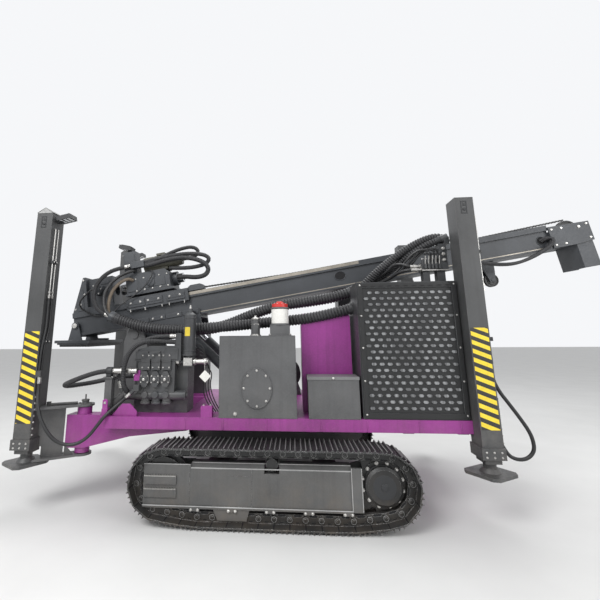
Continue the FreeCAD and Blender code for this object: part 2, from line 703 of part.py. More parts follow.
def swing_arm():
    """Left swing arm: two plates, the web between them and the hinge pin."""
    tube_face = FRONT_JACK_X + TUBE_X / 2.0
    y0 = -JACK_Y - TUBE_Y / 2.0
    y1 = -JACK_Y + TUBE_Y / 2.0
    outline = [(tube_face, y0), (HINGE_X, -HINGE_Y - ARM_PLATE_R),
               (HINGE_X, -HINGE_Y + ARM_PLATE_R), (tube_face, y1)]
    parts = []
    for z0 in (ARM_PLATE_TOP_Z - ARM_PLATE_T, ARM_PLATE_BOTTOM_Z):
        plate = slab_xy(outline, z0, z0 + ARM_PLATE_T)
        eye = rod((HINGE_X, -HINGE_Y, z0), (0, 0, 1), ARM_PLATE_R, ARM_PLATE_T)
        parts += [plate, eye]
    parts.append(rod((HINGE_X, -HINGE_Y, ARM_PLATE_BOTTOM_Z - 12.0), (0, 0, 1), HINGE_PIN_R,
                     ARM_PLATE_TOP_Z - ARM_PLATE_BOTTOM_Z + 38.0))
    dx, dy = FRONT_JACK_X - HINGE_X, HINGE_Y - JACK_Y
    reach = math.hypot(dx, dy)
    angle = math.degrees(math.atan2(dy, dx))
    web = box(WEB_START_R, reach - 40.0, -WEB_T / 2.0, WEB_T / 2.0,
              ARM_PLATE_BOTTOM_Z, ARM_PLATE_TOP_Z)
    web.Placement = Placement(Vector(HINGE_X, -HINGE_Y, 0), Rotation(Vector(0, 0, 1), angle))
    parts.append(web)
    body = fuse(parts)
    keep = box(tube_face, HINGE_X + 400.0, -2000.0, 0.0, 0.0, 2000.0)
    collar = box(tube_face - 1.0, tube_face + COLLAR_T, -2000.0, 0.0, TUBE_BOTTOM_Z - 1.0,
                 COLLAR_TOP_Z)
    leg_room = box(tube_face - 1.0, tube_face + 28.0, -2000.0, 0.0, 0.0, TUBE_BOTTOM_Z)
    return body.common(keep).cut(collar).cut(leg_room)


LEFT_SWING = swing_arm()
save("swing_arm_left", LEFT_SWING)
save("swing_arm_right", mirrored(LEFT_SWING))


def jack_lamp():
    """Flood lamp on a bracket at the top of the left front jack."""
    x = FRONT_JACK_X + TUBE_X / 2.0
    arm = box(x, x + 60.0, -JACK_Y - 20.0, -JACK_Y + 20.0, TUBE_TOP_Z - 90.0, TUBE_TOP_Z - 70.0)
    lamp = box(-75.0, 75.0, -70.0, 70.0, -22.0, 22.0)
    lamp.Placement = Placement(Vector(x + 95.0, -JACK_Y, TUBE_TOP_Z - 40.0),
                               Rotation(Vector(0, 1, 0), -12.0))
    stalk = box(x + 48.0, x + 60.0, -JACK_Y - 20.0, -JACK_Y + 20.0, TUBE_TOP_Z - 90.0,
                TUBE_TOP_Z - 45.0)
    return fuse([arm, stalk, lamp])


save("lamp_left", jack_lamp())
save("lamp_right", mirrored(jack_lamp()))


# Units on the deck

def hydraulic_tank():
    """Tank with its oval hatch, breather and lifting edge."""
    x0, x1, y0, y1, z1 = TANK
    body = box(x0, x1, y0, y1, DECK_TOP_Z, z1)
    hatch = rod((0, 0, 0), (0, -1, 0), 1.0, 14.0)
    matrix = FreeCAD.Matrix()
    matrix.scale(Vector(145.0, 1.0, 185.0))
    hatch = hatch.transformGeometry(matrix)
    hatch.translate(Vector(-708.0, y0 + 1.0, 1130.0))
    breather = rod((-734.0, -792.0, z1 - 1.0), (0, 0, 1), 46.0, 120.0)
    cap = rod((-734.0, -792.0, z1 + 118.0), (0, 0, 1), 36.0, 44.0)
    base = box(-578.0, -382.0, -930.0, -750.0, z1 - 1.0, z1 + 102.0)
    return fuse([body, hatch, breather, cap, base])


save("hydraulic_tank", hydraulic_tank())


def filter_canister():
    """Return filter standing on the tank."""
    z1 = TANK[4] + 102.0
    body = rod((-480.0, -840.0, z1), (0, 0, 1), 86.0, 160.0)
    neck = rod((-480.0, -840.0, z1 + 159.0), (0, 0, 1), 76.0, 22.0)
    return fuse([body, neck])


save("filter_canister", filter_canister())
CAP_Z = TANK[4] + 102.0 + 181.0
save("canister_cap", rod((-480.0, -840.0, CAP_Z), (0, 0, 1), 80.0, 34.0))


def fuel_tank():
    """Tall fuel tank with a rounded top edge."""
    x0, x1, y0, y1, z1 = FUEL
    body = box(x0, x1, y0, y1, DECK_TOP_Z, z1)
    edges = [e for e in body.Edges if abs(e.BoundBox.ZMin - z1) < 1.0
             and abs(e.BoundBox.ZMax - z1) < 1.0]
    return body.makeFillet(45.0, edges)


save("fuel_tank", fuel_tank())


def lid_knuckles(start):
    """Hinge knuckles on the lid's pin line, each a given way along its pair."""
    x0, x1 = TOOL[0], TOOL[1]
    knuckles = []
    for part in LID_HINGES:
        x = x0 + part * (x1 - x0) + start
        knuckles.append(rod((x, LID_PIN_Y, LID_PIN_Z), (1, 0, 0), LID_KNUCKLE_R, LID_KNUCKLE))
        y, z = LID_PIN_Y, LID_PIN_Z
        if start == 0.0:
            tab = [(TOOL[3] - 1.0, z - 33.0), (TOOL[3] - 1.0, z - 18.0), (y - 5.0, z - 4.0),
                   (y + 4.0, z - 4.0), (y + 4.0, z - 18.0)]
        else:
            tab = [(TOOL[3] - 1.0, z - 4.0), (TOOL[3] - 1.0, z + 8.0), (y, z + 8.0), (y, z - 4.0)]
        knuckles.append(slab_yz(tab, x, x + LID_KNUCKLE))
    return knuckles


def lid_pins(radius):
    """The three hinge pins, or the bores round them."""
    pins = []
    for part in LID_HINGES:
        x = TOOL[0] + part * (TOOL[1] - TOOL[0])
        pins.append(rod((x, LID_PIN_Y, LID_PIN_Z), (1, 0, 0), radius, 2.0 * LID_KNUCKLE + 3.0))
    return pins


def tool_box():
    """Open-topped box of sheet with its halves of the lid hinges and the pins."""
    x0, x1, y0, y1, z1 = TOOL
    outer = box(x0, x1, y0, y1, DECK_TOP_Z, z1)
    inner = box(x0 + 6.0, x1 - 6.0, y0 + 6.0, y1 - 6.0, DECK_TOP_Z + 6.0, z1 + 1.0)
    return fuse([outer.cut(inner)] + lid_knuckles(0.0) + lid_pins(LID_PIN_R))


def tool_box_lid():
    """Lid with a turned-up edge and its halves of the hinges."""
    x0, x1, y0, y1, z1 = TOOL
    z0 = z1 + LID_GAP
    plate = box(x0 - 6.0, x1 + 6.0, y0 - 6.0, y1, z0, z0 + LID_T)
    lid = fuse([plate] + lid_knuckles(LID_KNUCKLE + 2.0))
    return lid.cut(Part.makeCompound(lid_pins(LID_PIN_R + RUNNING_GAP)))


save("tool_box", tool_box())
save("tool_box_lid", tool_box_lid())


def hood_shell(y0, y1, top):
    """Sheet box open below, standing on the deck."""
    skin = HOOD_SKIN
    outer = box(HOOD_X0, HOOD_X1, y0, y1, DECK_TOP_Z, top)
    return outer.cut(box(HOOD_X0 + skin, HOOD_X1 - skin, y0 + skin, y1 - skin,
                         DECK_TOP_Z - 1.0, top - skin))


def engine_hood():
    """Middle of the hood with a slatted radiator guard at the back and a hose saddle."""
    parts = [hood_shell(-HOOD_POD_Y, HOOD_POD_Y, HOOD_MID_Z)]
    for i in range(GUARD_SLATS):
        z0 = GUARD_Z0 + i * GUARD_PITCH
        parts.append(slab_xz([(HOOD_X1 - 1.0, z0), (HOOD_X1 - 1.0, z0 + 40.0),
                              (HOOD_X1 + 18.0, z0 + 8.0)], -GUARD_HALF, GUARD_HALF))
    x, z = SADDLE
    parts.append(box(x + SADDLE_POST[0], x + SADDLE_POST[1], BUNDLE_Y - 40.0, BUNDLE_Y + 40.0,
                     HOOD_MID_Z - 1.0, z - SADDLE_DROP))
    parts.append(gland((x, BUNDLE_Y, z), SADDLE_TURN))
    return fuse(parts)


save("engine_hood", engine_hood())
save("hood_pods", both_sides(hood_shell(-HOOD_SIDE_Y, -HOOD_POD_Y, HOOD_POD_Z)))


def louvre():
    """Oval pressed hood, tapered to a face that sits low, so that it sheds rain."""
    half, rise = LOUVRE_WIDTH / 2.0, LOUVRE_HEIGHT / 2.0
    foot = [(-half, 0.0), (-0.6 * half, -rise), (0.6 * half, -rise), (half, 0.0),
            (0.6 * half, rise), (-0.6 * half, rise)]
    face = [(0.66 * x, 0.66 * z - 0.28 * rise) for x, z in foot]
    wires = []
    for points, y in ((foot, 1.0), (face, -LOUVRE_DEPTH)):
        wires.append(Part.makePolygon([Vector(x, y, z) for x, z in points + points[:1]]))
    return Part.makeLoft(wires, True, True)


def side_grille():
    """Left side panel of the hood: a framed sheet with rows of louvres, staggered."""
    face = -HOOD_SIDE_Y
    x0, x1 = HOOD_X0 + 12.0, HOOD_X1 - 12.0
    z0, z1 = DECK_TOP_Z + 14.0, HOOD_POD_Z - 14.0
    parts = [box(x0, x1, face - GRILLE_T, face, z0, z1)]
    for lo, hi in ((x0, x0 + 40.0), (x1 - 40.0, x1)):
        parts.append(box(lo, hi, face - GRILLE_T - 12.0, face, z0, z1))
    for lo, hi in ((z0, z0 + 44.0), (z1 - 44.0, z1)):
        parts.append(box(x0, x1, face - GRILLE_T - 12.0, face, lo, hi))
    pitch_x = (x1 - x0 - 110.0) / LOUVRE_COLUMNS
    pitch_z = (z1 - z0 - 120.0) / LOUVRE_ROWS
    skin = face - GRILLE_T
    pressed = louvre()
    for row in range(LOUVRE_ROWS):
        for column in range(LOUVRE_COLUMNS):
            hood = pressed.copy()
            hood.translate(Vector(x0 + 55.0 + (column + 0.25 + 0.5 * (row % 2)) * pitch_x, skin,
                                  z0 + 60.0 + (row + 0.5) * pitch_z))
            parts.append(hood)
    return fuse(parts)


save("side_grilles", both_sides(side_grille()))
save("engine_block", box(400.0, 1100.0, -300.0, 300.0, DECK_TOP_Z, 1700.0))


PUMP_FRONT_X = -2000.0


PUMP_MID_X = -1744.0
PUMP_PITCH = 108.0
COVER_HALF = 50.0
COVER_RISE = 76.0
COVER_Z = 1200.0
OUTLET_TOP_Z = 1412.0
VESSEL = (-1418.0, -800.0)
VESSEL_R = 62.0
VESSEL_RIM = 9.0
VESSEL_GAP = 4.0


def mud_pump():
    """Three-cylinder mud pump: crank case, castings, covers and suction pipe."""
    front = -850.0
    case = box(PUMP_FRONT_X, -1440.0, -740.0, -500.0, DECK_TOP_Z, 1390.0)
    end_x = VESSEL[0] - VESSEL_R - VESSEL_RIM - VESSEL_GAP
    casting = slab_xz([(-1974.0, 1376.0), (-1940.0, 1490.0), (-1816.0, 1524.0), (end_x, 1524.0),
                       (end_x, 1376.0)], front, -735.0)
    fluid = box(PUMP_MID_X - 192.0, PUMP_MID_X + 192.0, front + 10.0, -735.0, 1060.0, 1380.0)
    parts = [case, casting, fluid]
    for x in (PUMP_MID_X - PUMP_PITCH, PUMP_MID_X, PUMP_MID_X + PUMP_PITCH):
        parts.append(box(x - 46.0, x + 46.0, front - 12.0, front + 20.0, COVER_Z + 88.0, 1450.0))
        cover = [(x - COVER_HALF, COVER_Z - 22.0), (x - 20.0, COVER_Z - COVER_RISE),
                 (x + 20.0, COVER_Z - COVER_RISE), (x + COVER_HALF, COVER_Z - 22.0),
                 (x + COVER_HALF, COVER_Z + 22.0), (x + 20.0, COVER_Z + COVER_RISE),
                 (x - 20.0, COVER_Z + COVER_RISE), (x - COVER_HALF, COVER_Z + 22.0)]
        parts.append(slab_xz(cover, front - 26.0, front + 11.0))
        parts.append(rod((x, front - 38.0, COVER_Z), (0, 1, 0), 22.0, 14.0))
        parts.append(rod((x, -800.0, 985.0), (0, 0, 1), 44.0, 120.0))
    parts.append(rod((-2080.0, -800.0, 1040.0), (1, 0, 0), 46.0, 640.0))
    outlet_x = PUMP_MID_X + 180.0
    parts.append(rod((outlet_x, VESSEL[1], 1366.0), (1, 0, 0), 22.0, VESSEL[0] + 160.0 - outlet_x))
    parts.append(box(VESSEL[0] - 48.0, VESSEL[0] + 48.0, VESSEL[1] - 48.0, VESSEL[1] + 48.0,
                     1320.0, OUTLET_TOP_Z))
    parts.append(rod((-2080.0, -800.0, 1040.0), (-0.75, 0, -0.66), 46.0, 150.0))
    parts.append(rod((-2192.0, -800.0, DECK_TOP_Z), (0, 0, 1), 46.0, 88.0))
    x, y, z = PUMP_PORT
    parts.append(box(x, x + 60.0, y - 30.0, y + 30.0, 1523.0, z + 30.0))
    parts.append(rod(RETURN_PORT, (1, 0, 0), RETURN_HOSE_R + 3.0, -1934.0 - RETURN_PORT[0]))
    parts.append(rod(PUMP_DRAIN, PUMP_DRAIN_AXIS, PUMP_HOSE_R + 6.0, PUMP_DRAIN[2] - 1060.0))
    x, y, z = JACK_PORT
    parts.append(rod(JACK_PORT, JACK_PORT_AXIS, JACK_HOSE_R + 5.0, 80.0))
    parts.append(box(x + 33.0, x + 88.0, y - 24.0, front + 11.0, z + 22.0, z + 82.0))
    return fuse(parts)


save("mud_pump", mud_pump())


def air_vessel():
    """Pulsation vessel standing on the pump's outlet block."""
    x, y = VESSEL
    z = OUTLET_TOP_Z
    body = rod((x, y, z + 28.0), (0, 0, 1), VESSEL_R, 400.0)
    shoulder = Part.makeCone(VESSEL_R, 30.0, 24.0, Vector(x, y, z + 427.0))
    neck = rod((x, y, z), (0, 0, 1), 40.0, 30.0)
    flange = rod((x, y, z + 14.0), (0, 0, 1), VESSEL_R + VESSEL_RIM, 16.0)
    top = rod((x, y, z + 450.0), (0, 0, 1), 24.0, 40.0)
    return fuse([body, shoulder, neck, flange, top])


save("air_vessel", air_vessel())


def valve_bank():
    """Valve block on two legs on the left pod, with its tall end section and hose port."""
    base_z = HOOD_POD_Z + 118.0
    top_z = base_z + 86.0
    parts = [box(960.0, 1025.0, -840.0, -760.0, HOOD_POD_Z, base_z + 1.0),
             box(1096.0, 1174.0, -840.0, -760.0, HOOD_POD_Z, base_z + 1.0),
             box(950.0, 1205.0, -860.0, -740.0, base_z, top_z),
             box(1130.0, 1205.0, -850.0, -750.0, top_z - 5.0, top_z + 190.0)]
    for i in range(VALVE_LEVERS):
        x = 968.0 + i * 34.0
        parts.append(box(x, x + 22.0, -880.0, -859.0, base_z + 18.0, base_z + 68.0))
        parts.append(rod((x + 11.0, -800.0, top_z - 1.0), (0, 0, 1), 11.0, 40.0))
    x, y, z = VALVE_PORT
    parts.append(box(x + 16.0, x + 66.0, y - 44.0, y + 30.0, top_z + 189.0, z + 20.0))
    parts.append(rod(VALVE_PORT, VALVE_AXIS, HOOD_HOSE_R + 4.0, 70.0))
    return fuse(parts)


save("valve_bank", valve_bank())


def mast_rest():
    """Trestle on the hood's middle that carries the parked mast."""
    foot_z = HOOD_MID_Z
    x0, x1 = 620.0, 760.0
    top0 = MAST_Z0 + x0 * math.tan(math.radians(MAST_TILT))
    top1 = MAST_Z0 + x1 * math.tan(math.radians(MAST_TILT))
    gap = SLIDE_GAP / math.cos(math.radians(MAST_TILT))
    post = [(x0, foot_z), (x0, top0 - gap), (x1, top1 - gap), (x1, foot_z)]
    saddle = [(x0, top0 - 50.0), (x0, top0 - gap), (x1, top1 - gap), (x1, top1 - 50.0)]
    return fuse([slab_xz(post, -170.0, -110.0), slab_xz(post, 110.0, 170.0),
                 slab_xz(saddle, -170.0, 170.0)])


save("mast_rest", mast_rest())


def pivot_tower():
    """Two side plates with the mast's pivot pins, and a low tie between them."""
    px, pz = mast_point(PIVOT_S, PIVOT_N)
    foot = DECK_BOTTOM_Z
    outline = [(-2325.0, foot), (-2325.0, pz - 80.0), (px - 95.0, pz + 20.0),
               (px - 60.0, pz + 90.0), (px + 60.0, pz + 90.0), (px + 110.0, pz + 10.0),
               (-1950.0, 1250.0), (-1720.0, foot)]
    parts = []
    for side in (-1.0, 1.0):
        lo, hi = sorted((side * TOWER_IN, side * TOWER_OUT))
        parts.append(slab_xz(outline, lo, hi))
        lo, hi = sorted((side * 216.0, side * (TOWER_OUT + 14.0)))
        parts.append(rod((px, lo, pz), (0, 1, 0), PIVOT_R, hi - lo))
    parts.append(box(FRAME_FRONT_X, -2150.0, -TOWER_IN - 5.0, TOWER_IN + 5.0, foot, 1000.0))
    return fuse(parts)


save("pivot_tower", pivot_tower())


def control_console():
    """Driver's console on the right side of the front deck."""
    outline = [(-2000.0, DECK_TOP_Z), (-2000.0, 1560.0), (-1930.0, 1650.0), (-1560.0, 1700.0),
               (-1560.0, DECK_TOP_Z)]
    return slab_xz(outline, 560.0, 900.0)


save("control_console", control_console())
WINCH_X = -450.0
WINCH_Z = 1120.0


def winch_frame():
    """Winch cheeks and motor on the right side of the deck."""
    parts = []
    cheek = [(WINCH_X - 190.0, DECK_TOP_Z), (WINCH_X - 60.0, WINCH_Z + 90.0),
             (WINCH_X + 60.0, WINCH_Z + 90.0), (WINCH_X + 190.0, DECK_TOP_Z)]
    for y0 in (480.0, 860.0):
        parts.append(slab_xz(cheek, y0, y0 + 20.0))
    parts.append(box(WINCH_X - 190.0, WINCH_X + 190.0, 480.0, 880.0, DECK_TOP_Z,
                     DECK_TOP_Z + 16.0))
    parts.append(rod((WINCH_X, 879.0, WINCH_Z), (0, 1, 0), 62.0, 70.0))
    parts.append(rod((WINCH_X, 480.0, WINCH_Z), (0, 1, 0), 30.0, 400.0))
    return fuse(parts)


def winch_drum():
    """Rope drum with two flanges, bored to turn on its shaft."""
    drum = rod((WINCH_X, 510.0, WINCH_Z), (0, 1, 0), 110.0, 340.0)
    one = rod((WINCH_X, 510.0, WINCH_Z), (0, 1, 0), 185.0, 16.0)
    two = rod((WINCH_X, 834.0, WINCH_Z), (0, 1, 0), 185.0, 16.0)
    bore = rod((WINCH_X, 500.0, WINCH_Z), (0, 1, 0), 30.0 + RUNNING_GAP, 360.0)
    return fuse([drum, one, two]).cut(bore)


save("winch_frame", winch_frame())
save("winch_drum", winch_drum())


# Mast: cradle, beam, crown, clamp and foot

STRAP_Y = 372.0
STRAP_T = 12.0
STRAP_HALF = 20.0
CRADLE_GLAND = (-1552.0, -184.0)
MAST_GLAND = (-2463.0, 126.0)
MAST_GLAND_TURN = -30.0
GLAND_ARM_HALF = 16.0


def mast_cradle():
    """Cradle that holds the beam's lower flange and hinges on the tower."""
    outline = [(CRADLE_S0, 70.0), (CRADLE_S0, -60.0), (-2310.0, -190.0), (-2200.0, -215.0),
               (-1560.0, -235.0), (CRADLE_S1, -100.0), (CRADLE_S1, 70.0)]
    parts = []
    for side in (-1.0, 1.0):
        lo, hi = sorted((side * CRADLE_IN, side * CRADLE_OUT))
        parts.append(slab_xz(outline, lo, hi))
        lo, hi = sorted((side * (CRADLE_OUT - 2.0), side * BOSS_OUT))
        parts.append(rod((PIVOT_S, lo, PIVOT_N), (0, 1, 0), 85.0, hi - lo))
        lo, hi = sorted((side * (CRADLE_OUT - 2.0), side * EYE_BOSS_OUT))
        parts.append(rod((CYL_EYE_S, lo, CYL_EYE_N), (0, 1, 0), 48.0, hi - lo))
        lo, hi = sorted((side * 163.0, side * (CRADLE_IN + 2.0)))
        parts.append(box(CRADLE_S0 + 30.0, CRADLE_S1 - 30.0, lo, hi, FLANGE_N + SLIDE_GAP, 66.0))
    parts.append(box(CRADLE_S0, CRADLE_S1, -CRADLE_IN - 5.0, CRADLE_IN + 5.0, -36.0,
                     -SLIDE_GAP))
    parts.append(box(-1700.0, -1600.0, -CRADLE_IN - 5.0, CRADLE_IN + 5.0, -200.0, -20.0))
    s, n = CRADLE_GLAND
    s0, s1 = s - STRAP_HALF, s + STRAP_HALF
    parts.append(box(s0, s1, -STRAP_Y, -CRADLE_OUT + 1.0, 30.0, 46.0))
    parts.append(box(s0, s1, -STRAP_Y, -STRAP_Y + STRAP_T, n - 20.0, 46.0))
    parts.append(gland((s, BUNDLE_Y, n), -MAST_TILT))
    body = fuse(parts)
    bore = rod((PIVOT_S, -400.0, PIVOT_N), (0, 1, 0), PIVOT_R + RUNNING_GAP, 800.0)
    return on_mast(body.cut(bore))


save("mast_cradle", mast_cradle())


SNATCH_S = 2010.0
SNATCH_N = -215.0


def snatch_fork():
    """Fork below the mast for the rope sheave."""
    outline = [(1915.0, 0.0), (1955.0, -120.0), (SNATCH_S - 30.0, SNATCH_N - 20.0),
               (SNATCH_S + 30.0, SNATCH_N - 20.0), (2065.0, -120.0), (2080.0, 0.0)]
    return [slab_xz(outline, -42.0, -30.0), slab_xz(outline, 30.0, 42.0),
            rod((SNATCH_S, -46.0, SNATCH_N), (0, 1, 0), 16.0, 92.0),
            box(1915.0, 2080.0, -42.0, 42.0, -14.0, 1.0)]


def mast_beam():
    """Box beam with recessed webs and two guide rails on top."""
    s0, s1 = BEAM_S0, BEAM_S1
    parts = [box(s0, s1, -MAST_HALF, MAST_HALF, 0.0, FLANGE_N),
             box(s0, s1, -WEB_HALF, -WEB_HALF + WEB_PLATE, FLANGE_N - 1.0, RAIL_N0 + 1.0),
             box(s0, s1, WEB_HALF - WEB_PLATE, WEB_HALF, FLANGE_N - 1.0, RAIL_N0 + 1.0),
             box(s0, s1, -WEB_HALF, WEB_HALF, RAIL_N0 - 12.0, RAIL_N0),
             box(s0, s1, -MAST_HALF, -RAIL_INNER, RAIL_N0, RAIL_N1),
             box(s0, s1, RAIL_INNER, MAST_HALF, RAIL_N0, RAIL_N1),
             box(s0, s0 + 14.0, -WEB_HALF, WEB_HALF, FLANGE_N - 1.0, RAIL_N0),
             box(s1 - 14.0, s1, -WEB_HALF, WEB_HALF, FLANGE_N - 1.0, RAIL_N0),
             rod((FOOT_PIN_S, -FOOT_PIN_END, FOOT_PIN_N), (0, 1, 0), FOOT_PIN_R,
                 2.0 * FOOT_PIN_END)]
    s, n = MAST_GLAND
    half = GLAND_ARM_HALF
    parts.append(box(s - half, s + half, -STRAP_Y, -WEB_HALF + 1.0, n - half, n + half))
    parts.append(gland((s, BUNDLE_Y, n), MAST_GLAND_TURN))
    return on_mast(fuse(parts + snatch_fork()))


save("mast_beam", mast_beam())


def sheave(s, n, radius, half, bore):
    """Grooved rope wheel on a cross shaft."""
    wheel = rod((s, -half, n), (0, 1, 0), radius, 2.0 * half)
    hole = rod((s, -half - 1.0, n), (0, 1, 0), bore + RUNNING_GAP, 2.0 * half + 2.0)
    return on_mast(wheel.cut(hole))


save("snatch_sheave", sheave(SNATCH_S, SNATCH_N, 78.0, 24.0, 16.0))
CROWN_SHEAVE = (3030.0, 205.0, 125.0, 20.0, 25.0)
CHAIN_HALF = 11.0
HANG_REACH = 195.0
HANG_DROP = 270.0


def crown_block():
    """Crown cheeks round the sheave, with the hanging plate."""
    s0, s1 = BEAM_S1, CROWN_S1
    outline = [(s0, 8.0), (s0, 262.0), (s1, 252.0), (s1, 26.0), (s1 - HANG_REACH, 8.0)]
    s, n, radius, half, bore = CROWN_SHEAVE
    parts = [slab_xz(outline, -196.0, -180.0), slab_xz(outline, 180.0, 196.0),
             box(s0, s0 + 20.0, -181.0, 181.0, 8.0, 200.0),
             box(s0, 2890.0, -181.0, 181.0, 8.0, 24.0),
             rod((s, -196.0, n), (0, 1, 0), bore, 392.0)]
    h0, h1 = s1 - HANG_REACH, s1 - 15.0
    parts.append(box(h0, h0 + 14.0, -181.0, 181.0, -HANG_DROP, 30.0))
    for lo, hi in ((-181.0, -165.0), (165.0, 181.0)):
        parts.append(box(h0, h1, lo, hi, -HANG_DROP, 30.0))
    return on_mast(fuse(parts))


save("crown_block", crown_block())
save("crown_sheave", sheave(*CROWN_SHEAVE))


def feed_chain():
    """Feed chain that sags a little between the clamp end and the crown."""
    s, n, radius = CROWN_SHEAVE[:3]
    line = [(-2539.7, 314.0), (-1385.0, 345.0), (-400.0, 312.0), (430.0, 302.0),
            (1900.0, 312.0), (s, n + radius + CHAIN_HALF + SLIDE_GAP)]
    top = [(s, n + CHAIN_HALF) for s, n in line]
    low = [(s, n - CHAIN_HALF) for s, n in reversed(line)]
    return on_mast(slab_xz(top + low, -16.0, 16.0))


save("feed_chain", feed_chain())


def rod_clamp():
    """Rod clamp at the mast's low end with its tall front rib."""
    face_s = -2880.0
    top_n = RAIL_N1 + 426.0
    rib = [(face_s - 195.0, RAIL_N1), (face_s - 34.0, top_n), (face_s, top_n), (face_s, RAIL_N1)]
    bore = rod((-3000.0, 0.0, 520.0), (1, 0, 0), 75.0, 600.0)
    jaw = box(face_s - 1.0, face_s + 320.0, -120.0, 120.0, RAIL_N1 + 40.0, top_n - 26.0)
    base = box(face_s - 1.0, face_s + 340.0, -180.0, 180.0, RAIL_N1, RAIL_N1 + 41.0)
    parts = [slab_xz(rib, -180.0, -160.0), slab_xz(rib, 160.0, 180.0), jaw, base,
             box(face_s - 20.0, face_s, -180.0, 180.0, RAIL_N1, top_n)]
    for lo, hi in ((-240.0, -119.0), (119.0, 240.0)):
        parts.append(rod((-2720.0, lo, 520.0), (0, 1, 0), 70.0, hi - lo))
    return on_mast(fuse(parts).cut(bore))


save("rod_clamp", rod_clamp())


def mast_foot():
    """Foot pad on two cheeks, hinged outside the beam's low end."""
    px, pz = mast_point(FOOT_PIN_S, FOOT_PIN_N)
    x0, x1 = px - FOOT_PLATE_BACK, px + FOOT_PLATE_AHEAD
    top = pz - FOOT_PLATE_DROP
    parts = [box(x0, x1, -450.0, 450.0, top - 32.0, top),
             box(x0 + 22.0, x1 - 22.0, -430.0, 430.0, top - 50.0, top - 31.0)]
    cheek = [(x0 + 17.0, top - 1.0), (px - 42.0, pz - 10.0), (px - 20.0, pz + 40.0),
             (px + 20.0, pz + 40.0), (px + 42.0, pz - 10.0), (px + 97.0, top - 1.0)]
    for side in (-1.0, 1.0):
        lo, hi = sorted((side * 188.0, side * 206.0))
        parts.append(slab_xz(cheek, lo, hi))
        lo, hi = sorted((side * 186.0, side * 214.0))
        parts.append(rod((px, lo, pz), (0, 1, 0), 44.0, hi - lo))
    parts.append(rod((px + 262.0, 0.0, top - 1.0), (0, 0, 1), 70.0, 24.0))
    bore = rod((px, -300.0, pz), (0, 1, 0), FOOT_PIN_R + RUNNING_GAP, 600.0)
    return fuse(parts).cut(bore)


save("mast_foot", mast_foot())


# Drill head on the mast

def head_carriage():
    """Carriage over the rails with a tunnel for the chain."""
    s0, s1 = -2370.0, -1590.0
    seat = RAIL_N1 + SLIDE_GAP
    parts = [box(s0, s1, -215.0, -48.0, seat, 340.0),
             box(s0, s1, 48.0, 215.0, seat, 340.0),
             box(s0, -1760.0, -215.0, 215.0, 370.0, CARRIAGE_TOP_N),
             box(s0, -1760.0, -80.0, -48.0, 339.0, 371.0),
             box(s0, -1760.0, 48.0, 80.0, 339.0, 371.0)]
    for side in (-1.0, 1.0):
        lo, hi = sorted((side * 186.0, side * 215.0))
        parts.append(box(s0, s1, lo, hi, 190.0, 297.0))
        lo, hi = sorted((side * 162.0, side * 187.0))
        parts.append(box(s0, s1, lo, hi, 190.0, 221.0))
    return on_mast(fuse(parts))


save("head_carriage", head_carriage())
SPINDLE_N = 520.0
SPINDLE_BORE_R = 62.0


HEAD_PORT = (-2262.0, -232.0, 738.0)


def rotation_head():
    """Gear case on the carriage with the tall box behind it and the hose manifold."""
    seat = CARRIAGE_TOP_N
    outline = [(-2250.0, seat), (-2250.0, 600.0), (-2215.0, 640.0), (-1850.0, 640.0),
               (-1800.0, 590.0), (-1800.0, seat)]
    case = slab_xz(outline, -190.0, 190.0)
    nose = rod((-2360.0, 0.0, SPINDLE_N), (1, 0, 0), 105.0, 111.0)
    back = rod((-1801.0, 0.0, SPINDLE_N), (1, 0, 0), 90.0, 60.0)
    bore = rod((-2400.0, 0.0, SPINDLE_N), (1, 0, 0), SPINDLE_BORE_R + RUNNING_GAP, 800.0)
    body = fuse([case, nose, back]).cut(bore)
    tall = box(-2362.0, -2200.0, -185.0, -40.0, seat, 935.0)
    tall = tall.cut(rod((-2400.0, 0.0, SPINDLE_N), (1, 0, 0), 112.0, 200.0))
    s, y, n = HEAD_PORT
    manifold = box(s + 22.0, -2080.0, y - 30.0, -184.0, n - 40.0, n + 40.0)
    port = rod((s, y, n), (1, 0, 0), FEED_HOSE_R + 8.0, 30.0)
    return on_mast(fuse([body, tall, manifold, port]))


save("rotation_head", rotation_head())


def head_motor():
    """Oil motor lying on the gear case."""
    body = rod((-2130.0, -60.0, 745.0), (1, 0, 0), 98.0, 330.0)
    tail = Part.makeCone(96.0, 66.0, 160.0, Vector(-1801.0, -60.0, 745.0), Vector(1, 0, 0))
    seat = box(-2120.0, -1820.0, -150.0, 30.0, 640.0, 680.0)
    return on_mast(fuse([body, tail, seat]))


save("head_motor", head_motor())


def spindle():
    """Hollow spindle through the gear case with a chuck at its front."""
    shaft = rod((-2470.0, 0.0, SPINDLE_N), (1, 0, 0), SPINDLE_BORE_R, 800.0)
    chuck = rod((-2480.0, 0.0, SPINDLE_N), (1, 0, 0), 92.0, 112.0)
    hole = rod((-2490.0, 0.0, SPINDLE_N), (1, 0, 0), 38.0, 900.0)
    return on_mast(fuse([shaft, chuck]).cut(hole))


save("spindle", spindle())


def head_lamp():
    """Flood lamp on top of the head."""
    lamp = box(-80.0, 80.0, -70.0, 70.0, -22.0, 22.0)
    lamp.Placement = Placement(Vector(-2330.0, -112.0, 1010.0), Rotation(Vector(0, 1, 0), 22.0))
    stalk = box(-2320.0, -2280.0, -130.0, -95.0, 935.0, 1000.0)
    return on_mast(fuse([lamp, stalk]))


save("head_lamp", head_lamp())


# Tilt cylinders

def cylinder_line():
    """Closed length and tilt of the line from the base pin to the rod's eye."""
    ex, ez = mast_point(CYL_EYE_S, CYL_EYE_N)
    length = math.hypot(ex - CYL_BASE_X, ez - CYL_BASE_Z)
    angle = math.degrees(math.atan2(ez - CYL_BASE_Z, ex - CYL_BASE_X))
    return length, angle


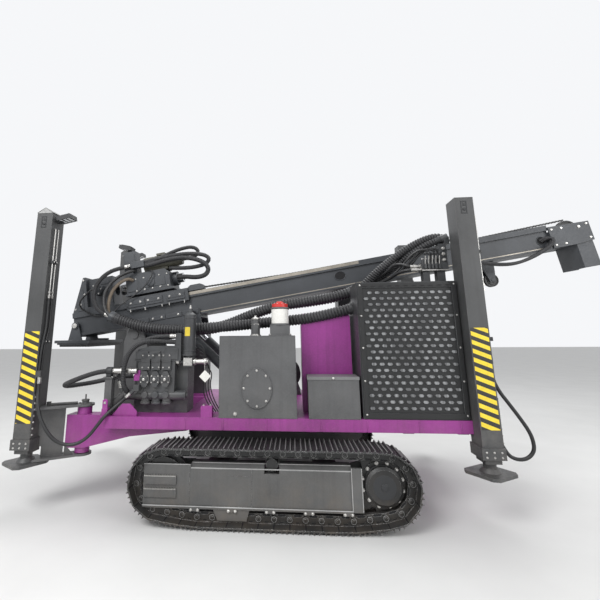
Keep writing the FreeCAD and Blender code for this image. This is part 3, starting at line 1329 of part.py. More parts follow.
CYL_LENGTH, CYL_ANGLE = cylinder_line()
print("cylinder closed %.1f at %.2f deg" % (CYL_LENGTH, CYL_ANGLE))


def on_cylinder(shape, y):
    """Move a shape drawn along X to the cylinder's parked place."""
    shape.Placement = Placement(Vector(CYL_BASE_X, y, CYL_BASE_Z),
                                Rotation(Vector(0, 1, 0), -CYL_ANGLE))
    return shape


def tilt_barrel():
    """Barrel with its base eye."""
    tube = rod((BARREL_START, 0.0, 0.0), (1, 0, 0), BARREL_R, BARREL_END - BARREL_START)
    neck = rod((EYE_R - 10.0, 0.0, 0.0), (1, 0, 0), EYE_HALF - 3.0, BARREL_START - EYE_R + 11.0)
    eye = rod((0.0, -EYE_HALF, 0.0), (0, 1, 0), EYE_R, 2.0 * EYE_HALF)
    hollow = rod((BARREL_START + 25.0, 0.0, 0.0), (1, 0, 0), BARREL_R - 12.0,
                 BARREL_END - BARREL_START - 45.0)
    mouth = rod((BARREL_END - 30.0, 0.0, 0.0), (1, 0, 0), ROD_R + RUNNING_GAP, 60.0)
    pin = rod((0.0, -40.0, 0.0), (0, 1, 0), BASE_PIN_R + RUNNING_GAP, 80.0)
    return fuse([tube, neck, eye]).cut(hollow).cut(mouth).cut(pin)


def tilt_rod(side):
    """Piston rod with its eye, and the pin's outer cap on one side."""
    start = BARREL_START + 35.0
    bar = rod((start, 0.0, 0.0), (1, 0, 0), ROD_R, CYL_LENGTH - start - 20.0)
    head = rod((start, 0.0, 0.0), (1, 0, 0), BARREL_R - 13.0, 50.0)
    eye = rod((CYL_LENGTH, -EYE_HALF, 0.0), (0, 1, 0), EYE_R, 2.0 * EYE_HALF)
    lo, hi = sorted((side * (EYE_HALF - 2.0), side * (EYE_HALF + 8.0)))
    cap = rod((CYL_LENGTH, lo, 0.0), (0, 1, 0), 34.0, hi - lo)
    return fuse([bar, head, eye, cap])


SIDES = (-1.0, 1.0)
save("tilt_barrels", Part.makeCompound([on_cylinder(tilt_barrel(), s * CYL_Y) for s in SIDES]))
save("tilt_rods", Part.makeCompound([on_cylinder(tilt_rod(s), s * CYL_Y) for s in SIDES]))


# Hoses

CRADLE_X, CRADLE_Z = mast_point(*CRADLE_GLAND)
MAST_X, MAST_Z = mast_point(*MAST_GLAND)
PORT_X, PORT_Z = mast_point(HEAD_PORT[0], HEAD_PORT[2])
SADDLE_MID = (SADDLE[0], BUNDLE_Y, SADDLE[1])
CRADLE_MID = (CRADLE_X, BUNDLE_Y, CRADLE_Z)
MAST_MID = (MAST_X, BUNDLE_Y, MAST_Z)
HEAD_END = (PORT_X, HEAD_PORT[1], PORT_Z)
MAST_TURN = MAST_GLAND_TURN + MAST_TILT
FACE = GLAND_T / 2.0

hose("hose_tilt", [
    ahead(SADDLE_MID, SADDLE_TURN, -FACE), ahead(SADDLE_MID, SADDLE_TURN, -FACE - 180.0),
    (-170.0, BUNDLE_Y, 1990.0), (-500.0, BUNDLE_Y, 1955.0), (-800.0, BUNDLE_Y, 1860.0),
    (-1080.0, BUNDLE_Y, 1745.0), ahead(CRADLE_MID, 0.0, FACE + 175.0),
    ahead(CRADLE_MID, 0.0, FACE)], BUNDLE_R)
hose("hose_slide", [
    ahead(CRADLE_MID, 0.0, -FACE), ahead(CRADLE_MID, 0.0, -FACE - 170.0),
    (-1990.0, BUNDLE_Y, 1712.0), ahead(MAST_MID, MAST_TURN, FACE + 170.0),
    ahead(MAST_MID, MAST_TURN, FACE)], BUNDLE_R)
hose("hose_feed", [
    ahead(MAST_MID, MAST_TURN, -FACE), ahead(MAST_MID, MAST_TURN, -FACE - 135.0),
    (-2692.0, -402.0, 1998.0), (-2736.0, -368.0, 2125.0), (-2723.0, -322.0, 2260.0),
    (-2655.0, -268.0, 2377.0), ahead(HEAD_END, MAST_TILT, -190.0), HEAD_END], FEED_HOSE_R)
hose("pump_hose", [
    PUMP_PORT, (PUMP_PORT[0] - 150.0, -800.0, PUMP_PORT[2]), (-1862.0, -800.0, 1600.0),
    (-1992.0, -800.0, 1530.0), (-2087.0, -800.0, 1420.0), (-2142.0, -800.0, 1290.0),
    beside(PUMP_DRAIN, PUMP_DRAIN_AXIS, -95.0), PUMP_DRAIN], PUMP_HOSE_R)
hose("return_hose", [
    RETURN_PORT, (RETURN_PORT[0] - 130.0, RETURN_PORT[1], RETURN_PORT[2]),
    (-2450.0, -885.0, 1238.0), (-2590.0, -912.0, 1182.0), (-2702.0, -855.0, 1140.0),
    (-2748.0, -745.0, 1115.0), (-2718.0, -628.0, 1108.0), (-2610.0, -553.0, 1120.0),
    (-2460.0, -538.0, 1148.0), (-2310.0, -562.0, 1184.0), (-2158.0, RETURN_END_Y, RETURN_END_Z),
    (PUMP_FRONT_X, RETURN_END_Y, RETURN_END_Z)], RETURN_HOSE_R)
hose("hood_hose", [
    ahead(SADDLE_MID, SADDLE_TURN, FACE), ahead(SADDLE_MID, SADDLE_TURN, FACE + 120.0),
    (620.0, -450.0, 2225.0), (730.0, -520.0, 2310.0), (830.0, -610.0, 2395.0),
    (940.0, -695.0, 2475.0), beside(VALVE_PORT, VALVE_AXIS, -120.0), VALVE_PORT], HOOD_HOSE_R)
hose("jack_hose_left", [
    FRONT_HOSE_TOP, beside(FRONT_HOSE_TOP, (0, 0, -1), 120.0), (-2800.0, -1110.0, 990.0),
    (-2755.0, -1118.0, 870.0), (-2690.0, -1112.0, 765.0), (-2625.0, -1092.0, 680.0),
    (-2535.0, -1068.0, 628.0), (-2425.0, -1040.0, 622.0), (-2325.0, -1015.0, 680.0),
    (-2250.0, -1000.0, 780.0), (-2175.0, -995.0, 880.0),
    beside(JACK_PORT, JACK_PORT_AXIS, -135.0), JACK_PORT], JACK_HOSE_R)
hose("jack_hose_rear", [
    REAR_HOSE_TOP, beside(REAR_HOSE_TOP, (0, 0, -1), 120.0), (1485.0, -948.0, 1120.0),
    (1560.0, -944.0, 1010.0), (1640.0, -938.0, 890.0), (1710.0, -930.0, 775.0),
    (1738.0, -922.0, 690.0), (1740.0, -912.0, 605.0), (1685.0, -898.0, 538.0),
    (1596.0, -880.0, 522.0), beside(REAR_HOSE_END, REAR_HOSE_AXIS, -185.0),
    REAR_HOSE_END], JACK_HOSE_R)
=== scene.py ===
import json
import math

import bmesh
import bpy
from mathutils import Matrix, Vector

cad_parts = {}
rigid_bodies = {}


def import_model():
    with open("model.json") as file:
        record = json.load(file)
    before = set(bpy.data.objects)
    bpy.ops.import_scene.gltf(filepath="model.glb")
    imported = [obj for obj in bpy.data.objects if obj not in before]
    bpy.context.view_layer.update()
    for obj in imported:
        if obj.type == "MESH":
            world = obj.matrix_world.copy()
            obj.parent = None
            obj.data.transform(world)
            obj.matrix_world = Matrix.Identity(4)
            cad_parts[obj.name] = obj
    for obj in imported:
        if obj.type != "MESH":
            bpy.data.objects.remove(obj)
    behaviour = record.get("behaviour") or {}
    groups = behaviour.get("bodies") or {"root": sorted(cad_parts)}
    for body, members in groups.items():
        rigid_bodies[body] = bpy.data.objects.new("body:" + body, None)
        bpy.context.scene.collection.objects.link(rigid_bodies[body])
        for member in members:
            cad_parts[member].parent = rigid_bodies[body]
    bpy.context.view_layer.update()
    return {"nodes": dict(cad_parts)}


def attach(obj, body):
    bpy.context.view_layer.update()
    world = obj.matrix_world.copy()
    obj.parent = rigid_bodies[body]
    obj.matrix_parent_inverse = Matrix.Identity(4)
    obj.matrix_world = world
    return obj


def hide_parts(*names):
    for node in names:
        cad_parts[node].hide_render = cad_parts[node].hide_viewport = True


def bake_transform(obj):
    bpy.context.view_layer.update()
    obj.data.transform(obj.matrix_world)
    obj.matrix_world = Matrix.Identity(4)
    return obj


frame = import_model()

scene = bpy.context.scene

# Places are given in millimetres, in the row frame, or in mast axes: s along the mast,
# y across it, n square to it. They become metres as each piece is made. Angles are in
# degrees where a name or a docstring says so, and in radians otherwise.
MM = 0.001
TILT = math.radians(9.5)
MAST_Z0 = 2128.0

# Ways, in the row frame and in mast axes alike
ALONG, AHEAD = (1, 0, 0), (-1, 0, 0)
RIGHT, LEFT = (0, 1, 0), (0, -1, 0)
UP, DOWN = (0, 0, 1), (0, 0, -1)

# Places on the solids that the details sit on
SIDES = ((-1, "left"), (1, "right"))
HINGE_X, HINGE_Y = -2500, 781
DECK_TOP = 861
HATCH = (-708, -974, 1130)
FILTER = (-480, -840)
BREATHER = (-734, -792)
TANK_FACE, TANK_X0, TANK_X1, TANK_TOP = 961, -1072, -334, 1618
PUMP_COLUMNS = (-1852, -1744, -1636)
VESSEL = (-1418, -800)
HOSE_POST = (-2220, -850)
IDLER_X, SPROCKET_X, WHEEL_Z, WHEEL_R = -1548, 390, 352, 241
ROLLERS_X, ROLLER_Z, ROLLER_PATH_R = (-1251, -918.5, -586, -253.5, 79), 190, 116
LINKS = 40
RIBS = (0.14, 0.45, 0.76)
LINK_FACE, LINK_BACK, SHOE_INNER, SHOE_OUTER = 1088, 938, 838.4, 1187.6
FRAME_FACE = 1104
CHAIN_PITCH = 38.1
WEB_FACE = 156
ROD_AXIS_N = 520
MOTOR_Y, MOTOR_N = -60, 745
LEVERS_X = (979, 1013, 1047, 1081, 1115)


# Camera

camera = bpy.data.objects.new("camera", bpy.data.cameras.new("camera"))
scene.collection.objects.link(camera)
camera.location = (-0.353, -4.714, 1.625)
camera.rotation_euler = [math.radians(a) for a in (101.331, 0.3938, 5.1878)]
camera.data.sensor_width = 36.0
camera.data.lens = 22.68
camera.data.shift_x = 0.07
camera.data.shift_y = -0.0675
scene.camera = camera
scene.view_settings.view_transform = "Standard"


# Materials

class Tree:
    """Short hand for a material's nodes."""

    def __init__(self, name):
        self.material = bpy.data.materials.new(name)
        self.material.use_nodes = True
        self.nodes = self.material.node_tree.nodes
        self.links = self.material.node_tree.links
        self.shader = self.nodes["Principled BSDF"]
        self.place = self.nodes.new("ShaderNodeTexCoord").outputs["Object"]

    def put(self, socket, value):
        """Link an output, or set a number or colour."""
        if isinstance(value, bpy.types.NodeSocket):
            self.links.new(value, socket)
        else:
            socket.default_value = value

    def noise(self, scale, detail=4.0, rough=0.55, stretch=None):
        """Noise over the object's own coordinates, in cells a metre."""
        node = self.nodes.new("ShaderNodeTexNoise")
        node.inputs["Scale"].default_value = scale
        node.inputs["Detail"].default_value = detail
        node.inputs["Roughness"].default_value = rough
        place = self.place
        if stretch:
            mapping = self.nodes.new("ShaderNodeMapping")
            mapping.inputs["Scale"].default_value = stretch
            self.links.new(place, mapping.inputs["Vector"])
            place = mapping.outputs["Vector"]
        self.links.new(place, node.inputs["Vector"])
        return node.outputs["Fac"]

    def span(self, value, low, high, to_low=0.0, to_high=1.0):
        """Clamped change of range."""
        node = self.nodes.new("ShaderNodeMapRange")
        self.links.new(value, node.inputs["Value"])
        for key, number in (("From Min", low), ("From Max", high), ("To Min", to_low),
                            ("To Max", to_high)):
            node.inputs[key].default_value = number
        return node.outputs["Result"]

    def math(self, kind, a, b=0.0):
        """One sum."""
        node = self.nodes.new("ShaderNodeMath")
        node.operation = kind
        self.put(node.inputs[0], a)
        self.put(node.inputs[1], b)
        return node.outputs[0]

    def mix(self, share, a, b):
        """Colour between two colours."""
        node = self.nodes.new("ShaderNodeMix")
        node.data_type = "RGBA"
        self.put(node.inputs["Factor"], share)
        for key, value in (("A", a), ("B", b)):
            socket = [s for s in node.inputs if s.name == key and s.type == "RGBA"][0]
            self.put(socket, value)
        return [s for s in node.outputs if s.type == "RGBA"][0]

    def axis(self, letter):
        """One coordinate of the place."""
        node = self.nodes.new("ShaderNodeSeparateXYZ")
        self.links.new(self.place, node.inputs[0])
        return node.outputs[letter]

    def bump(self, height, depth, normal=None):
        """Surface relief, its depth in metres."""
        node = self.nodes.new("ShaderNodeBump")
        node.inputs["Distance"].default_value = depth
        self.links.new(height, node.inputs["Height"])
        if normal is not None:
            self.links.new(normal, node.inputs["Normal"])
        return node.outputs["Normal"]

    def soft_edge(self, radius):
        """Normal of a rounded edge, and how far it departs from the flat face."""
        bevel = self.nodes.new("ShaderNodeBevel")
        bevel.samples = 3
        bevel.inputs["Radius"].default_value = radius
        flat = self.nodes.new("ShaderNodeNewGeometry")
        dot = self.nodes.new("ShaderNodeVectorMath")
        dot.operation = "DOT_PRODUCT"
        self.links.new(bevel.outputs[0], dot.inputs[0])
        self.links.new(flat.outputs["Normal"], dot.inputs[1])
        return bevel.outputs[0], self.span(dot.outputs["Value"], 0.99, 0.80)


def shade(colour, factor):
    """Colour times a factor."""
    return tuple(min(1.0, c * factor) for c in colour[:3]) + (1.0,)


def look(name, colour, rough, metal=0.0, mottle=0.22, streak=0.0, grain=0.35, edge_wear_and_glint=None,
         dust=None, edge=0.0, coat=0.0):
    """Worn surface: clouded colour, run marks, grain, pale edges and dust from below. The pale
    edges are scuffs, and on the track steel also painted highlights.
    """
    tree = Tree(name)
    cloud = tree.noise(2.6, 7.0, 0.62)
    fine = tree.noise(70.0, 5.0, 0.6)
    speck = tree.noise(420.0, 3.0, 0.6)
    base = tree.mix(tree.span(cloud, 0.3, 0.7), shade(colour, 1.0 - mottle),
                    shade(colour, 1.0 + mottle))
    base = tree.mix(tree.span(fine, 0.45, 0.75, 0.0, 0.35), base, shade(colour, 1.5))
    if streak:
        runs = tree.noise(9.0, 5.0, 0.6, (2.4, 2.4, 0.12))
        base = tree.mix(tree.span(runs, 0.5, 0.78, 0.0, streak), base, shade(colour, 0.45))
    normal = None
    if edge or edge_wear_and_glint:
        normal, turned = tree.soft_edge(edge or 0.003)
        if edge_wear_and_glint:
            # Pale edge colour: scuffs, and where it is set bright, painted edge highlights.
            chips_and_glints = tree.math("MULTIPLY", turned, tree.span(fine, 0.42, 0.62))
            base = tree.mix(tree.math("MULTIPLY", chips_and_glints, edge_wear_and_glint[1]), base, edge_wear_and_glint[0])
    if dust:
        tint, low, high, amount = dust
        height = tree.span(tree.axis("Z"), low, high, amount, 0.0)
        patch = tree.span(tree.noise(6.0, 8.0, 0.68), 0.38, 0.68)
        base = tree.mix(tree.math("MULTIPLY", height, patch), base, tint)
    tree.put(tree.shader.inputs["Base Color"], base)
    spread = tree.span(fine, 0.3, 0.75, max(0.05, rough - 0.1), min(1.0, rough + 0.14))
    tree.put(tree.shader.inputs["Roughness"], spread)
    tree.shader.inputs["Metallic"].default_value = metal
    tree.shader.inputs["Coat Weight"].default_value = coat
    relief = tree.bump(cloud, 0.002, normal)
    relief = tree.bump(speck, grain * 0.0008, relief)
    tree.put(tree.shader.inputs["Normal"], relief)
    return tree.material


def striped(name, dark, light, pitch, turn):
    """Slanting warning stripes, scuffed, over X and Z."""
    tree = Tree(name)
    along = tree.math("ADD", tree.math("MULTIPLY", tree.axis("X"), turn), tree.axis("Z"))
    part = tree.math("FRACT", tree.math("DIVIDE", along, pitch))
    edge = tree.span(part, 0.49, 0.51)
    dirt = tree.noise(14.0, 8.0, 0.65)
    fine = tree.noise(90.0, 5.0, 0.65)
    base = tree.mix(edge, dark, tree.mix(tree.span(dirt, 0.4, 0.7, 0.0, 0.5), light,
                                         shade(light, 0.6)))
    base = tree.mix(tree.span(fine, 0.6, 0.72, 0.0, 0.6), base, (0.16, 0.14, 0.11, 1.0))
    tree.put(tree.shader.inputs["Base Color"], base)
    tree.put(tree.shader.inputs["Roughness"], tree.span(dirt, 0.3, 0.7, 0.42, 0.62))
    tree.put(tree.shader.inputs["Normal"], tree.bump(fine, 0.0004))
    return tree.material


MUD = (0.20, 0.155, 0.11, 1.0)
GREY_DUST = (0.24, 0.22, 0.20, 1.0)

charcoal = look("charcoal_paint", (0.088, 0.089, 0.091), 0.46, streak=0.25, edge=0.004,
                edge_wear_and_glint=((0.33, 0.33, 0.34, 1.0), 0.5), dust=(GREY_DUST, 0.1, 1.3, 0.35))
lid_grey = look("lid_paint", (0.150, 0.151, 0.153), 0.46, edge=0.003,
                edge_wear_and_glint=((0.4, 0.4, 0.41, 1.0), 0.5), dust=(GREY_DUST, 0.9, 1.4, 0.3))
frame_grey = look("track_frame_paint", (0.092, 0.092, 0.091), 0.5, streak=0.3, edge=0.005,
                  edge_wear_and_glint=((0.42, 0.42, 0.41, 1.0), 0.8), dust=(MUD, 0.1, 0.5, 0.3))
hood_grey = look("hood_paint", (0.036, 0.037, 0.039), 0.42, streak=0.2, edge=0.004,
                 edge_wear_and_glint=((0.24, 0.24, 0.25, 1.0), 0.35))
jack_grey = look("jack_paint", (0.056, 0.057, 0.058), 0.44, streak=0.3, edge=0.004,
                 edge_wear_and_glint=((0.36, 0.34, 0.32, 1.0), 0.6), dust=(GREY_DUST, 0.4, 1.5, 0.4))
mast_grey = look("mast_paint", (0.045, 0.049, 0.055), 0.44, streak=0.15, edge=0.004,
                 edge_wear_and_glint=((0.30, 0.30, 0.31, 1.0), 0.55))
purple = look("purple_paint", (0.265, 0.036, 0.225), 0.40, streak=0.35, edge=0.004,
              edge_wear_and_glint=((0.36, 0.30, 0.34, 1.0), 0.4), dust=(MUD, 0.5, 1.0, 0.3))
black_paint = look("black_paint", (0.022, 0.023, 0.025), 0.5, edge=0.003,
                   edge_wear_and_glint=((0.2, 0.2, 0.2, 1.0), 0.4))
rubber = look("hose_rubber", (0.018, 0.018, 0.019), 0.42, grain=0.7, mottle=0.35)
sleeve = look("hose_sleeve", (0.030, 0.030, 0.032), 0.5, grain=0.9, mottle=0.35)
muddy = look("muddy_hose", (0.135, 0.108, 0.082), 0.75, grain=0.8, mottle=0.5)
# On the track shoes and links the pale edges are partly wear and partly painted highlights.
shoe_steel = look("shoe_steel", (0.052, 0.052, 0.052), 0.42, metal=0.45, mottle=0.4, edge=0.005,
                  edge_wear_and_glint=((0.75, 0.75, 0.74, 1.0), 1.0), dust=(MUD, 0.0, 0.5, 0.35))
link_steel = look("link_steel", (0.034, 0.034, 0.034), 0.42, metal=0.5, mottle=0.4, edge=0.004,
                  edge_wear_and_glint=((0.6, 0.6, 0.59, 1.0), 0.9), dust=(MUD, 0.0, 0.5, 0.3))
bright_steel = look("bright_steel", (0.50, 0.49, 0.47), 0.34, metal=0.9, mottle=0.25, edge=0.002,
                    grain=0.2)
rail_steel = look("rail_steel", (0.30, 0.275, 0.235), 0.38, metal=0.7, mottle=0.35, edge=0.003,
                  grain=0.3)
chrome = look("chrome", (0.62, 0.63, 0.65), 0.12, metal=1.0, mottle=0.08, grain=0.05)
brass = look("brass", (0.45, 0.31, 0.12), 0.32, metal=0.9, grain=0.2)
olive = look("motor_paint", (0.080, 0.077, 0.056), 0.5, edge=0.003, mottle=0.35,
             edge_wear_and_glint=((0.3, 0.29, 0.26, 1.0), 0.5))
white = look("white_paint", (0.72, 0.71, 0.67), 0.42, mottle=0.1, edge=0.003,
             edge_wear_and_glint=((0.4, 0.38, 0.35, 1.0), 0.3), streak=0.12)
red = look("red_plastic", (0.52, 0.035, 0.03), 0.36, mottle=0.15)
yellow = look("yellow_paint", (0.62, 0.47, 0.04), 0.42, mottle=0.15)
pump_grey = look("pump_casting", (0.044, 0.046, 0.049), 0.45, grain=1.2, mottle=0.4, edge=0.004,
                 edge_wear_and_glint=((0.28, 0.27, 0.26, 1.0), 0.45), dust=(GREY_DUST, 0.8, 1.5, 0.3))
# Near black for painted shade in slots, holes and gaps.
shadow_black = look("painted_shadow_black", (0.008, 0.008, 0.009), 0.8, grain=0.2)
lens = look("lamp_lens", (0.62, 0.64, 0.66), 0.12, metal=0.2, mottle=0.1, coat=1.0, grain=0.1)
rope = look("wire_rope", (0.20, 0.19, 0.175), 0.45, metal=0.7, mottle=0.4)
# Pale steel: worn edges, and painted highlights on the track rib tips, boss rims and frame edges.
pale_wear_highlight = look("worn_edge_and_highlight", (0.34, 0.34, 0.335), 0.45, metal=0.3, mottle=0.35, grain=0.4)


def sheet_with_painted_glints(name, low, high):
    """Sheet metal with painted highlights: its pressed-out faces are painted lighter, in upright
    streaks of painted glint.
    """
    tree = Tree(name)
    out = tree.math("ABSOLUTE", tree.axis("Y"))
    # Raised louvre faces painted lighter, with streaks of painted glint.
    lit_faces = tree.math("MULTIPLY", tree.span(out, 0.9645, 0.9700), tree.span(out, 0.9728, 0.9724))
    streaks = tree.noise(34.0, 3.0, 0.5, (1.0, 0.2, 0.14))
    fine = tree.noise(120.0, 5.0, 0.6)
    glint = tree.mix(tree.span(streaks, 0.42, 0.60), shade(high, 0.55), shade(high, 1.35))
    base = tree.mix(lit_faces, low, glint)
    base = tree.mix(tree.span(fine, 0.5, 0.8, 0.0, 0.3), base, shade(low, 1.8))
    tree.put(tree.shader.inputs["Base Color"], base)
    tree.put(tree.shader.inputs["Roughness"], tree.span(fine, 0.3, 0.75, 0.34, 0.5))
    tree.put(tree.shader.inputs["Normal"], tree.bump(fine, 0.0004))
    return tree.material


grille_painted_glints = sheet_with_painted_glints("grille_painted_glints", (0.013, 0.0135, 0.014, 1.0), (0.20, 0.205, 0.21, 1.0))
hazard = striped("warning_stripes", (0.028, 0.027, 0.026, 1.0), (0.88, 0.66, 0.045, 1.0), 0.0766,
                 0.40)


def dress(material, *names):
    """Give CAD nodes a material."""
    for name in names:
        for slot in frame["nodes"][name].material_slots:
            slot.material = material


dress(purple, "chassis_frame", "fuel_tank")
dress(frame_grey, "track_frames", "cross_frame")
dress(charcoal, "hydraulic_tank", "tool_box", "control_console", "pivot_tower", "winch_frame")
dress(lid_grey, "tool_box_lid")
dress(grille_painted_glints, "side_grilles")
dress(hood_grey, "engine_hood", "hood_pods", "mast_rest")
dress(jack_grey, "front_tube_left", "front_tube_right", "rear_jack_tubes", "jack_leg_front_left",
      "jack_leg_front_right", "jack_leg_rear_left", "jack_leg_rear_right")
dress(charcoal, "swing_arm_left", "swing_arm_right")
dress(shoe_steel, "track_left", "track_right")
dress(link_steel, "drive_sprockets", "idlers", "track_rollers")
dress(mast_grey, "mast_beam", "mast_cradle", "crown_block", "rod_clamp", "mast_foot",
      "head_carriage", "rotation_head", "tilt_barrels")
dress(chrome, "tilt_rods", "spindle")
dress(link_steel, "crown_sheave", "snatch_sheave", "feed_chain", "winch_drum")
dress(olive, "head_motor")
dress(pump_grey, "mud_pump", "air_vessel", "engine_block", "valve_bank")
dress(white, "filter_canister")
dress(red, "canister_cap")
dress(black_paint, "lamp_left", "lamp_right", "head_lamp")


# Mesh helpers

ROW = Matrix.Identity(4)
MAST = Matrix(((math.cos(TILT), 0, -math.sin(TILT), 0), (0, 1, 0, 0),
               (math.sin(TILT), 0, math.cos(TILT), MAST_Z0 * MM), (0, 0, 0, 1)))


def mast(s, y, n):
    """Row frame place of a point given in mast axes, in millimetres."""
    return tuple(v / MM for v in MAST @ (Vector((s, y, n)) * MM))


def ahead(point, turn, reach):
    """Point a reach away from another along a line turned up from X."""
    angle = math.radians(turn)
    return (point[0] + reach * math.cos(angle), point[1], point[2] + reach * math.sin(angle))


def beside(point, axis, reach):
    """Point a reach away from another along an axis."""
    return tuple(Vector(point) + Vector(axis).normalized() * reach)


def slab(side, near, far):
    """Low and high y of a slab between two distances from the middle."""
    return sorted((side * near, side * far))


def skin(rings, sides):
    """Faces over a row of rings of points, with both ends closed."""
    faces = []
    for ring in range(rings - 1):
        for k in range(sides):
            a, b = ring * sides + k, ring * sides + (k + 1) % sides
            faces.append((a, b, b + sides, a + sides))
    faces.append(tuple(range(sides - 1, -1, -1)))
    faces.append(tuple(range((rings - 1) * sides, rings * sides)))
    return faces


class Shell:
    """Mesh put together from simple solids given in millimetres."""

    def __init__(self, place=ROW):
        self.mesh = bmesh.new()
        self.place = place

    def add(self, points, faces):
        """Vertices and the faces between them."""
        made = [self.mesh.verts.new(self.place @ (Vector(p) * MM)) for p in points]
        for face in faces:
            self.mesh.faces.new([made[i] for i in face])
        return self

    def prism(self, outline, axis, lo, hi):
        """Outline extruded along x, y or z."""
        order = {"x": lambda u, v, t: (t, u, v), "y": lambda u, v, t: (u, t, v),
                 "z": lambda u, v, t: (u, v, t)}[axis]
        count = len(outline)
        points = [order(u, v, lo) for u, v in outline] + [order(u, v, hi) for u, v in outline]
        faces = [tuple(range(count)), tuple(range(2 * count - 1, count - 1, -1))]
        faces += [(i, (i + 1) % count, count + (i + 1) % count, count + i)
                  for i in range(count)]
        return self.add(points, faces)

    def box(self, x0, x1, y0, y1, z0, z1):
        """Box between two corners."""
        return self.prism([(x0, z0), (x1, z0), (x1, z1), (x0, z1)], "y", y0, y1)

    def turned(self, base, axis, profile, sides=24):
        """Turned form: (distance, radius) pairs along an axis from a base point."""
        way = Vector(axis).normalized()
        one = way.orthogonal().normalized()
        two = way.cross(one)
        points = []
        for distance, radius in profile:
            for k in range(sides):
                angle = 2.0 * math.pi * (k + 0.5) / sides
                points.append(Vector(base) + way * distance
                              + (one * math.cos(angle) + two * math.sin(angle)) * radius)
        return self.add(points, skin(len(profile), sides))

    def bar(self, start, end, radius, sides=20):
        """Round bar with slightly broken edges."""
        way = Vector(end) - Vector(start)
        cut = min(radius * 0.18, way.length * 0.2)
        return self.turned(start, way, [(0, radius - cut), (cut, radius),
                                        (way.length - cut, radius),
                                        (way.length, radius - cut)], sides)

    def bolt(self, base, axis, across=20.0, height=None):
        """Washer and hexagon head."""
        height = height or across * 0.6
        r = across / 2.0
        self.turned(base, axis, [(0, r * 1.35), (2.0, r * 1.35), (2.6, r * 1.2)], 20)
        return self.turned(base, axis, [(1.5, r * 1.12), (height * 0.85, r * 1.12),
                                        (height, r * 0.9)], 6)

    def rings(self, base, axis, radius, thick, count, pitch, sides=24):
        """Row of round collars along an axis."""
        for k in range(count):
            start = beside(base, axis, k * pitch)
            self.turned(start, axis, [(0, radius * 0.93), (thick * 0.3, radius),
                                      (thick * 0.7, radius), (thick, radius * 0.93)], sides)
        return self

    def tube(self, line, radius, sides=14):
        """Round tube along a line of points, with a radius or a function of distance and angle."""
        marks = frames(line)
        points = []
        for place, one, two, distance in marks:
            for k in range(sides):
                angle = 2.0 * math.pi * k / sides
                r = radius(distance, angle) if callable(radius) else radius
                points.append(place + (one * math.cos(angle) + two * math.sin(angle)) * r)
        return self.add(points, skin(len(marks), sides))

    def piece(self, name, body, material, slot=None, bevel=0.0, angle=35.0):
        """Finish the mesh as a piece that rides on a body. No body leaves it free."""
        bmesh.ops.recalc_face_normals(self.mesh, faces=self.mesh.faces)
        data = bpy.data.meshes.new(name)
        self.mesh.to_mesh(data)
        self.mesh.free()
        data.materials.append(material)
        data.shade_smooth()
        data.set_sharp_from_angle(angle=math.radians(angle))
        made = bpy.data.objects.new(name, data)
        scene.collection.objects.link(made)
        if bevel:
            cut = made.modifiers.new("edges", "BEVEL")
            cut.width = bevel * MM
            cut.segments = 2
            cut.limit_method = "ANGLE"
            cut.angle_limit = math.radians(40.0)
        if body:
            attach(made, body)
        return made


def frames(line):
    """Place, two cross axes and distance along a line, turned as little as can be."""
    line = [Vector(p) for p in line]
    marks, distance = [], 0.0
    way = (line[1] - line[0]).normalized()
    one = way.orthogonal().normalized()
    for i, place in enumerate(line):
        if i:
            distance += (place - line[i - 1]).length
        ahead_of = line[min(i + 1, len(line) - 1)] - line[max(i - 1, 0)]
        fresh = ahead_of.normalized()
        one = way.rotation_difference(fresh) @ one
        one = (one - fresh * one.dot(fresh)).normalized()
        way = fresh
        marks.append((place, one, way.cross(one), distance))
    return marks


# Hoses

def spline_line(name, route, steps):
    """Points read from the NURBS spline of a route, in millimetres."""
    curve = bpy.data.curves.new(name + "_line", "CURVE")
    curve.dimensions = "3D"
    curve.resolution_u = steps
    spline = curve.splines.new("NURBS")
    spline.points.add(len(route) - 1)
    for point, place in zip(spline.points, route):
        point.co = (place[0] * MM, place[1] * MM, place[2] * MM, 1.0)
    spline.order_u = 3
    spline.use_endpoint_u = True
    holder = bpy.data.objects.new(name + "_line", curve)
    scene.collection.objects.link(holder)
    mesh = bpy.data.meshes.new_from_object(holder)
    line = [tuple(v.co / MM) for v in mesh.vertices]
    bpy.data.objects.remove(holder)
    bpy.data.meshes.remove(mesh)
    bpy.data.curves.remove(curve)
    return line


def wrapped(radius, pitch, height):
    """Radius of a hose bound with a spiral sleeve."""
    def at(distance, angle):
        phase = (distance / pitch - angle / (2.0 * math.pi)) % 1.0
        return radius + height * (2.0 * min(phase / 0.5, (1.0 - phase) / 0.5, 0.6) - 0.6)
    return at


def hose(name, route, diameter, body, node=None, between=None, steps=12, sides=16,
         material=None, ridge=None):
    """Free hose on a route. It may cross one joint.

    A ridge is the pitch and height of a bound sleeve. Between names the two bodies of the
    joint, and the places where the first ends and the second begins. These are not used:
    only whether it is given counts, and the hose then rides on no body.
    """
    line = spline_line(name, route, steps)
    radius = diameter / 2.0
    shape = wrapped(radius, *ridge) if ridge else radius
    made = Shell().tube(line, shape, sides).piece(
        name, None if between else body, material or (sleeve if ridge else rubber),
        "hose_rubber", angle=50.0)
    if between:
        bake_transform(made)
    if node:
        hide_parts(node)
    return line


